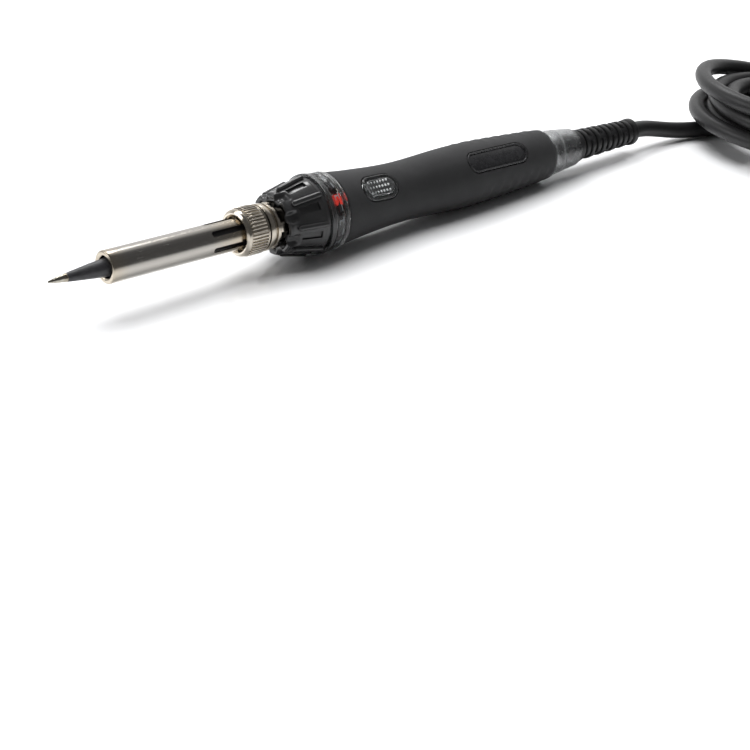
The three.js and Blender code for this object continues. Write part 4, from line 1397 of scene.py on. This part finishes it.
def make_plug():
    end = PLUG_ROUTE[-1]
    place = Matrix.Translation((end[0] * MM, (end[1] - 0.6) * MM, 0)) @ Matrix.Rotation(-math.pi / 2, 4, "Z")
    middle = 7.6
    neck_length = 10
    face = neck_length + 24
    slope = math.atan((middle - end[2]) / neck_length)
    outline = [(0.0, 0), (0.0, 3.2)]
    for k in range(5):
        x = 0.9 + k * 1.75
        radius = 3.55 + k * 0.42
        outline += [(x, radius), (x + 0.25, radius + 0.35), (x + 1.05, radius + 0.4), (x + 1.3, radius + 0.1)]
    outline += [(10.5, 5.6), (11.5, 5.6), (11.5, 0)]
    neck = new_piece("plug_neck", turned(outline, 48, closed=False))
    neck.data.transform(Matrix.Translation((0, 0, end[2] * MM)) @ Matrix.Rotation(-slope, 4, "Y"))
    neck.data.transform(place)
    shaded(neck, 50)
    settled(neck, "handle", finish(lead_finish))

    half = 11.5
    blade_offset = 6.35
    points = []
    stations = ((neck_length, 0.62, 0.70), (neck_length + 2.2, 0.86, 0.9), (neck_length + 6, 1.0, 1.0),
                (neck_length + 11, 0.965, 0.95), (neck_length + 16, 0.965, 0.95), (face - 3.5, 1.0, 1.0),
                (face, 1.0, 1.0))
    ring = 48
    squareness = 0.42
    half_height = 7.4
    for x, wide, tall in stations:
        for k in range(ring):
            angle = 2 * math.pi * (k + 0.5) / ring
            u, v = math.cos(angle), math.sin(angle)
            y = half * wide * math.copysign(abs(u) ** squareness, u)
            z = half_height * tall * math.copysign(abs(v) ** squareness, v)
            points.append((x, y, middle + z))
    faces = strips(len(stations), ring) + ends(len(points), ring)
    body = new_piece("plug_moulding", (points, faces), place)
    cutters = []
    for edge in (-1, 1):
        y = edge * blade_offset
        cutters.append(new_piece(f"blade_slot_{edge + 2}", block(face - 8, face + 1, y - 1.05, y + 1.05,
                                                                 middle - 3.45, middle + 3.45), place))
        for k in range(5):
            x = neck_length + 9 + k * 2
            groove = block(
                x, x + 0.8, edge * (half - 0.75) - 0.2, edge * (half + 1) + 0.2, middle - 5, middle + 5
            )
            cutters.append(new_piece(f"finger_groove_{edge + 2}_{k}", groove, place))
    cut_away(body, cutters)
    bevelled(body, 0.35, 2, 40)
    shaded(body, 40)
    settled(body, "handle", finish(lead_finish), ("plug_body",))

    for number, edge in ((1, -1), (2, 1)):
        y = edge * blade_offset
        blade = new_piece(f"plug_pin_{number}", block(face - 7.7, face + 16, y - 0.75, y + 0.75,
                                                      middle - 3.15, middle + 3.15), place)
        radius = mm(sizes("iron_lead").blade_hole)
        hole = new_piece("pin_hole", turned([(-3, 0), (-3, radius), (3, radius), (3, 0)], 32, closed=False))
        hole.data.transform(place @ Matrix.Translation(((face + 12) * MM, y * MM, middle * MM))
                            @ Matrix.Rotation(math.pi / 2, 4, "Z"))
        cut_away(blade, [hole])
        bevelled(blade, 0.3, 2, 40)
        shaded(blade, 40)
        settled(blade, "handle", finish(nickel_finish), (f"plug_blade_{number}",))


def make_inside():
    """The inner nodes keep their shapes and get finishes of their own."""
    paints = {
        "heater_spring": finish(sleeve_finish),
        "wiper_ring": finish(nickel_finish),
        "track_disc": finish(board_finish),
        "circuit_board": finish(board_finish),
        "clamp_screw_1": finish(nickel_finish),
        "clamp_screw_2": finish(nickel_finish),
    }
    for name, tone, darker, low, high, nodes in (
        ("heater_ceramic", (0.80, 0.77, 0.70), (0.62, 0.57, 0.49), 0.55, 0.7, ["ceramic_heater"]),
        ("base_ceramic", (0.84, 0.82, 0.78), (0.72, 0.69, 0.62), 0.5, 0.65, ["heater_base"]),
        ("chip_case", (0.016, 0.016, 0.017), (0.035, 0.035, 0.036), 0.45, 0.6,
         ["tact_switch", "triac", "control_chip"]),
        ("dipped_film", (0.34, 0.05, 0.02), (0.22, 0.03, 0.015), 0.25, 0.4, ["film_capacitor"]),
        ("resistor_body", (0.56, 0.48, 0.33), (0.42, 0.35, 0.22), 0.4, 0.55, ["board_resistor"]),
        ("clamp_bar", (0.014, 0.014, 0.015), (0.03, 0.03, 0.03), 0.4, 0.55, ["cord_clamp"]),
    ):
        for node in nodes:
            paints[node] = finish(plain_finish, name, tone, darker, low, high)
    for name, paint in paints.items():
        node = frame["nodes"][name]
        node.data.materials.clear()
        node.data.materials.append(paint)


# ---- the operators ----
class IRON_OT_stage(bpy.types.Operator):
    """Set up the camera, the table and the studio light"""

    bl_idname = "iron.stage"
    bl_label = "Stage"

    def execute(self, context):
        make_camera()
        make_table()
        make_backdrop()
        make_lights()
        return {"FINISHED"}


class IRON_OT_plug(bpy.types.Operator):
    """Mould the plug with its neck and its two blades"""

    bl_idname = "iron.plug"
    bl_label = "Plug"

    def execute(self, context):
        make_plug()
        return {"FINISHED"}


class IRON_OT_tie(bpy.types.Operator):
    """Tie the coil of the lead"""

    bl_idname = "iron.tie"
    bl_label = "Lead tie"

    def execute(self, context):
        make_tie()
        return {"FINISHED"}


class IRON_OT_lead(bpy.types.Operator):
    """Lay the mains lead from the strain relief through its coil to the plug"""

    bl_idname = "iron.lead"
    bl_label = "Mains lead"

    def execute(self, context):
        lead, start, run = make_lead()
        sizes("iron_lead").diameter
        return {"FINISHED"}


class IRON_OT_tip(bpy.types.Operator):
    """Turn the conical tip"""

    bl_idname = "iron.tip"
    bl_label = "Tip"

    def execute(self, context):
        make_tip()
        return {"FINISHED"}


class IRON_OT_sleeve(bpy.types.Operator):
    """Turn the steel sleeve and cut its slots"""

    bl_idname = "iron.sleeve"
    bl_label = "Sleeve"

    def execute(self, context):
        make_sleeve()
        return {"FINISHED"}


class IRON_OT_nut(bpy.types.Operator):
    """Make the knurled nut and the nipple that it screws on"""

    bl_idname = "iron.nut"
    bl_label = "Nut and nipple"

    def execute(self, context):
        make_nut()
        make_nipple()
        return {"FINISHED"}


class IRON_OT_knob(bpy.types.Operator):
    """Mould the temperature knob with its ribs"""

    bl_idname = "iron.knob"
    bl_label = "Temperature knob"

    def execute(self, context):
        make_knob()
        return {"FINISHED"}


class IRON_OT_dial(bpy.types.Operator):
    """Make the clear dial with its print, and the lamp that shows through it"""

    bl_idname = "iron.dial"
    bl_label = "Dial and lamp"

    def execute(self, context):
        make_dial()
        make_lamp()
        return {"FINISHED"}


class IRON_OT_housing(bpy.types.Operator):
    """Make the clear housing and its tail cap"""

    bl_idname = "iron.housing"
    bl_label = "Housing"

    def execute(self, context):
        make_housing()
        return {"FINISHED"}


class IRON_OT_grip(bpy.types.Operator):
    """Mould the rubber grip"""

    bl_idname = "iron.grip"
    bl_label = "Rubber grip"

    def execute(self, context):
        make_grip()
        return {"FINISHED"}


class IRON_OT_button(bpy.types.Operator):
    """Make the button with its bezel and dots, and the long window"""

    bl_idname = "iron.button"
    bl_label = "Button and window"

    def execute(self, context):
        make_button()
        make_window()
        return {"FINISHED"}


class IRON_OT_relief(bpy.types.Operator):
    """Mould the strain relief with its split rings"""

    bl_idname = "iron.relief"
    bl_label = "Strain relief"

    def execute(self, context):
        make_relief()
        return {"FINISHED"}


class IRON_OT_inside(bpy.types.Operator):
    """Finish the pieces inside the handle and the sleeve"""

    bl_idname = "iron.inside"
    bl_label = "Inner pieces"

    def execute(self, context):
        make_inside()
        return {"FINISHED"}


class IRON_PT_panel(bpy.types.Panel):
    """The iron's pieces, sizes and colours"""

    bl_idname = "IRON_PT_panel"
    bl_label = "Soldering iron"
    bl_space_type = "VIEW_3D"
    bl_region_type = "UI"
    bl_category = "Iron"

    def draw(self, context):
        for operator in OPERATORS:
            self.layout.operator(operator.bl_idname)
        for name, group in GROUPS.items():
            box = self.layout.box()
            for key in group.__annotations__:
                box.prop(getattr(context.scene, name), key)


OPERATORS = (
    IRON_OT_stage, IRON_OT_plug, IRON_OT_tie, IRON_OT_lead, IRON_OT_tip, IRON_OT_sleeve, IRON_OT_nut,
    IRON_OT_knob, IRON_OT_dial, IRON_OT_housing, IRON_OT_grip, IRON_OT_button, IRON_OT_relief, IRON_OT_inside,
)


def register():
    for group in GROUPS.values():
        bpy.utils.register_class(group)
    for name, group in GROUPS.items():
        setattr(bpy.types.Scene, name, bpy.props.PointerProperty(type=group))
    for item in (*OPERATORS, IRON_PT_panel):
        bpy.utils.register_class(item)


def unregister():
    for item in (IRON_PT_panel, *reversed(OPERATORS)):
        bpy.utils.unregister_class(item)
    for name in GROUPS:
        delattr(bpy.types.Scene, name)
    for group in GROUPS.values():
        bpy.utils.unregister_class(group)


def main():
    register()
    for operator in OPERATORS:
        space, name = operator.bl_idname.split(".")
        getattr(getattr(bpy.ops, space), name)()


if __name__ == "__main__":
    main()
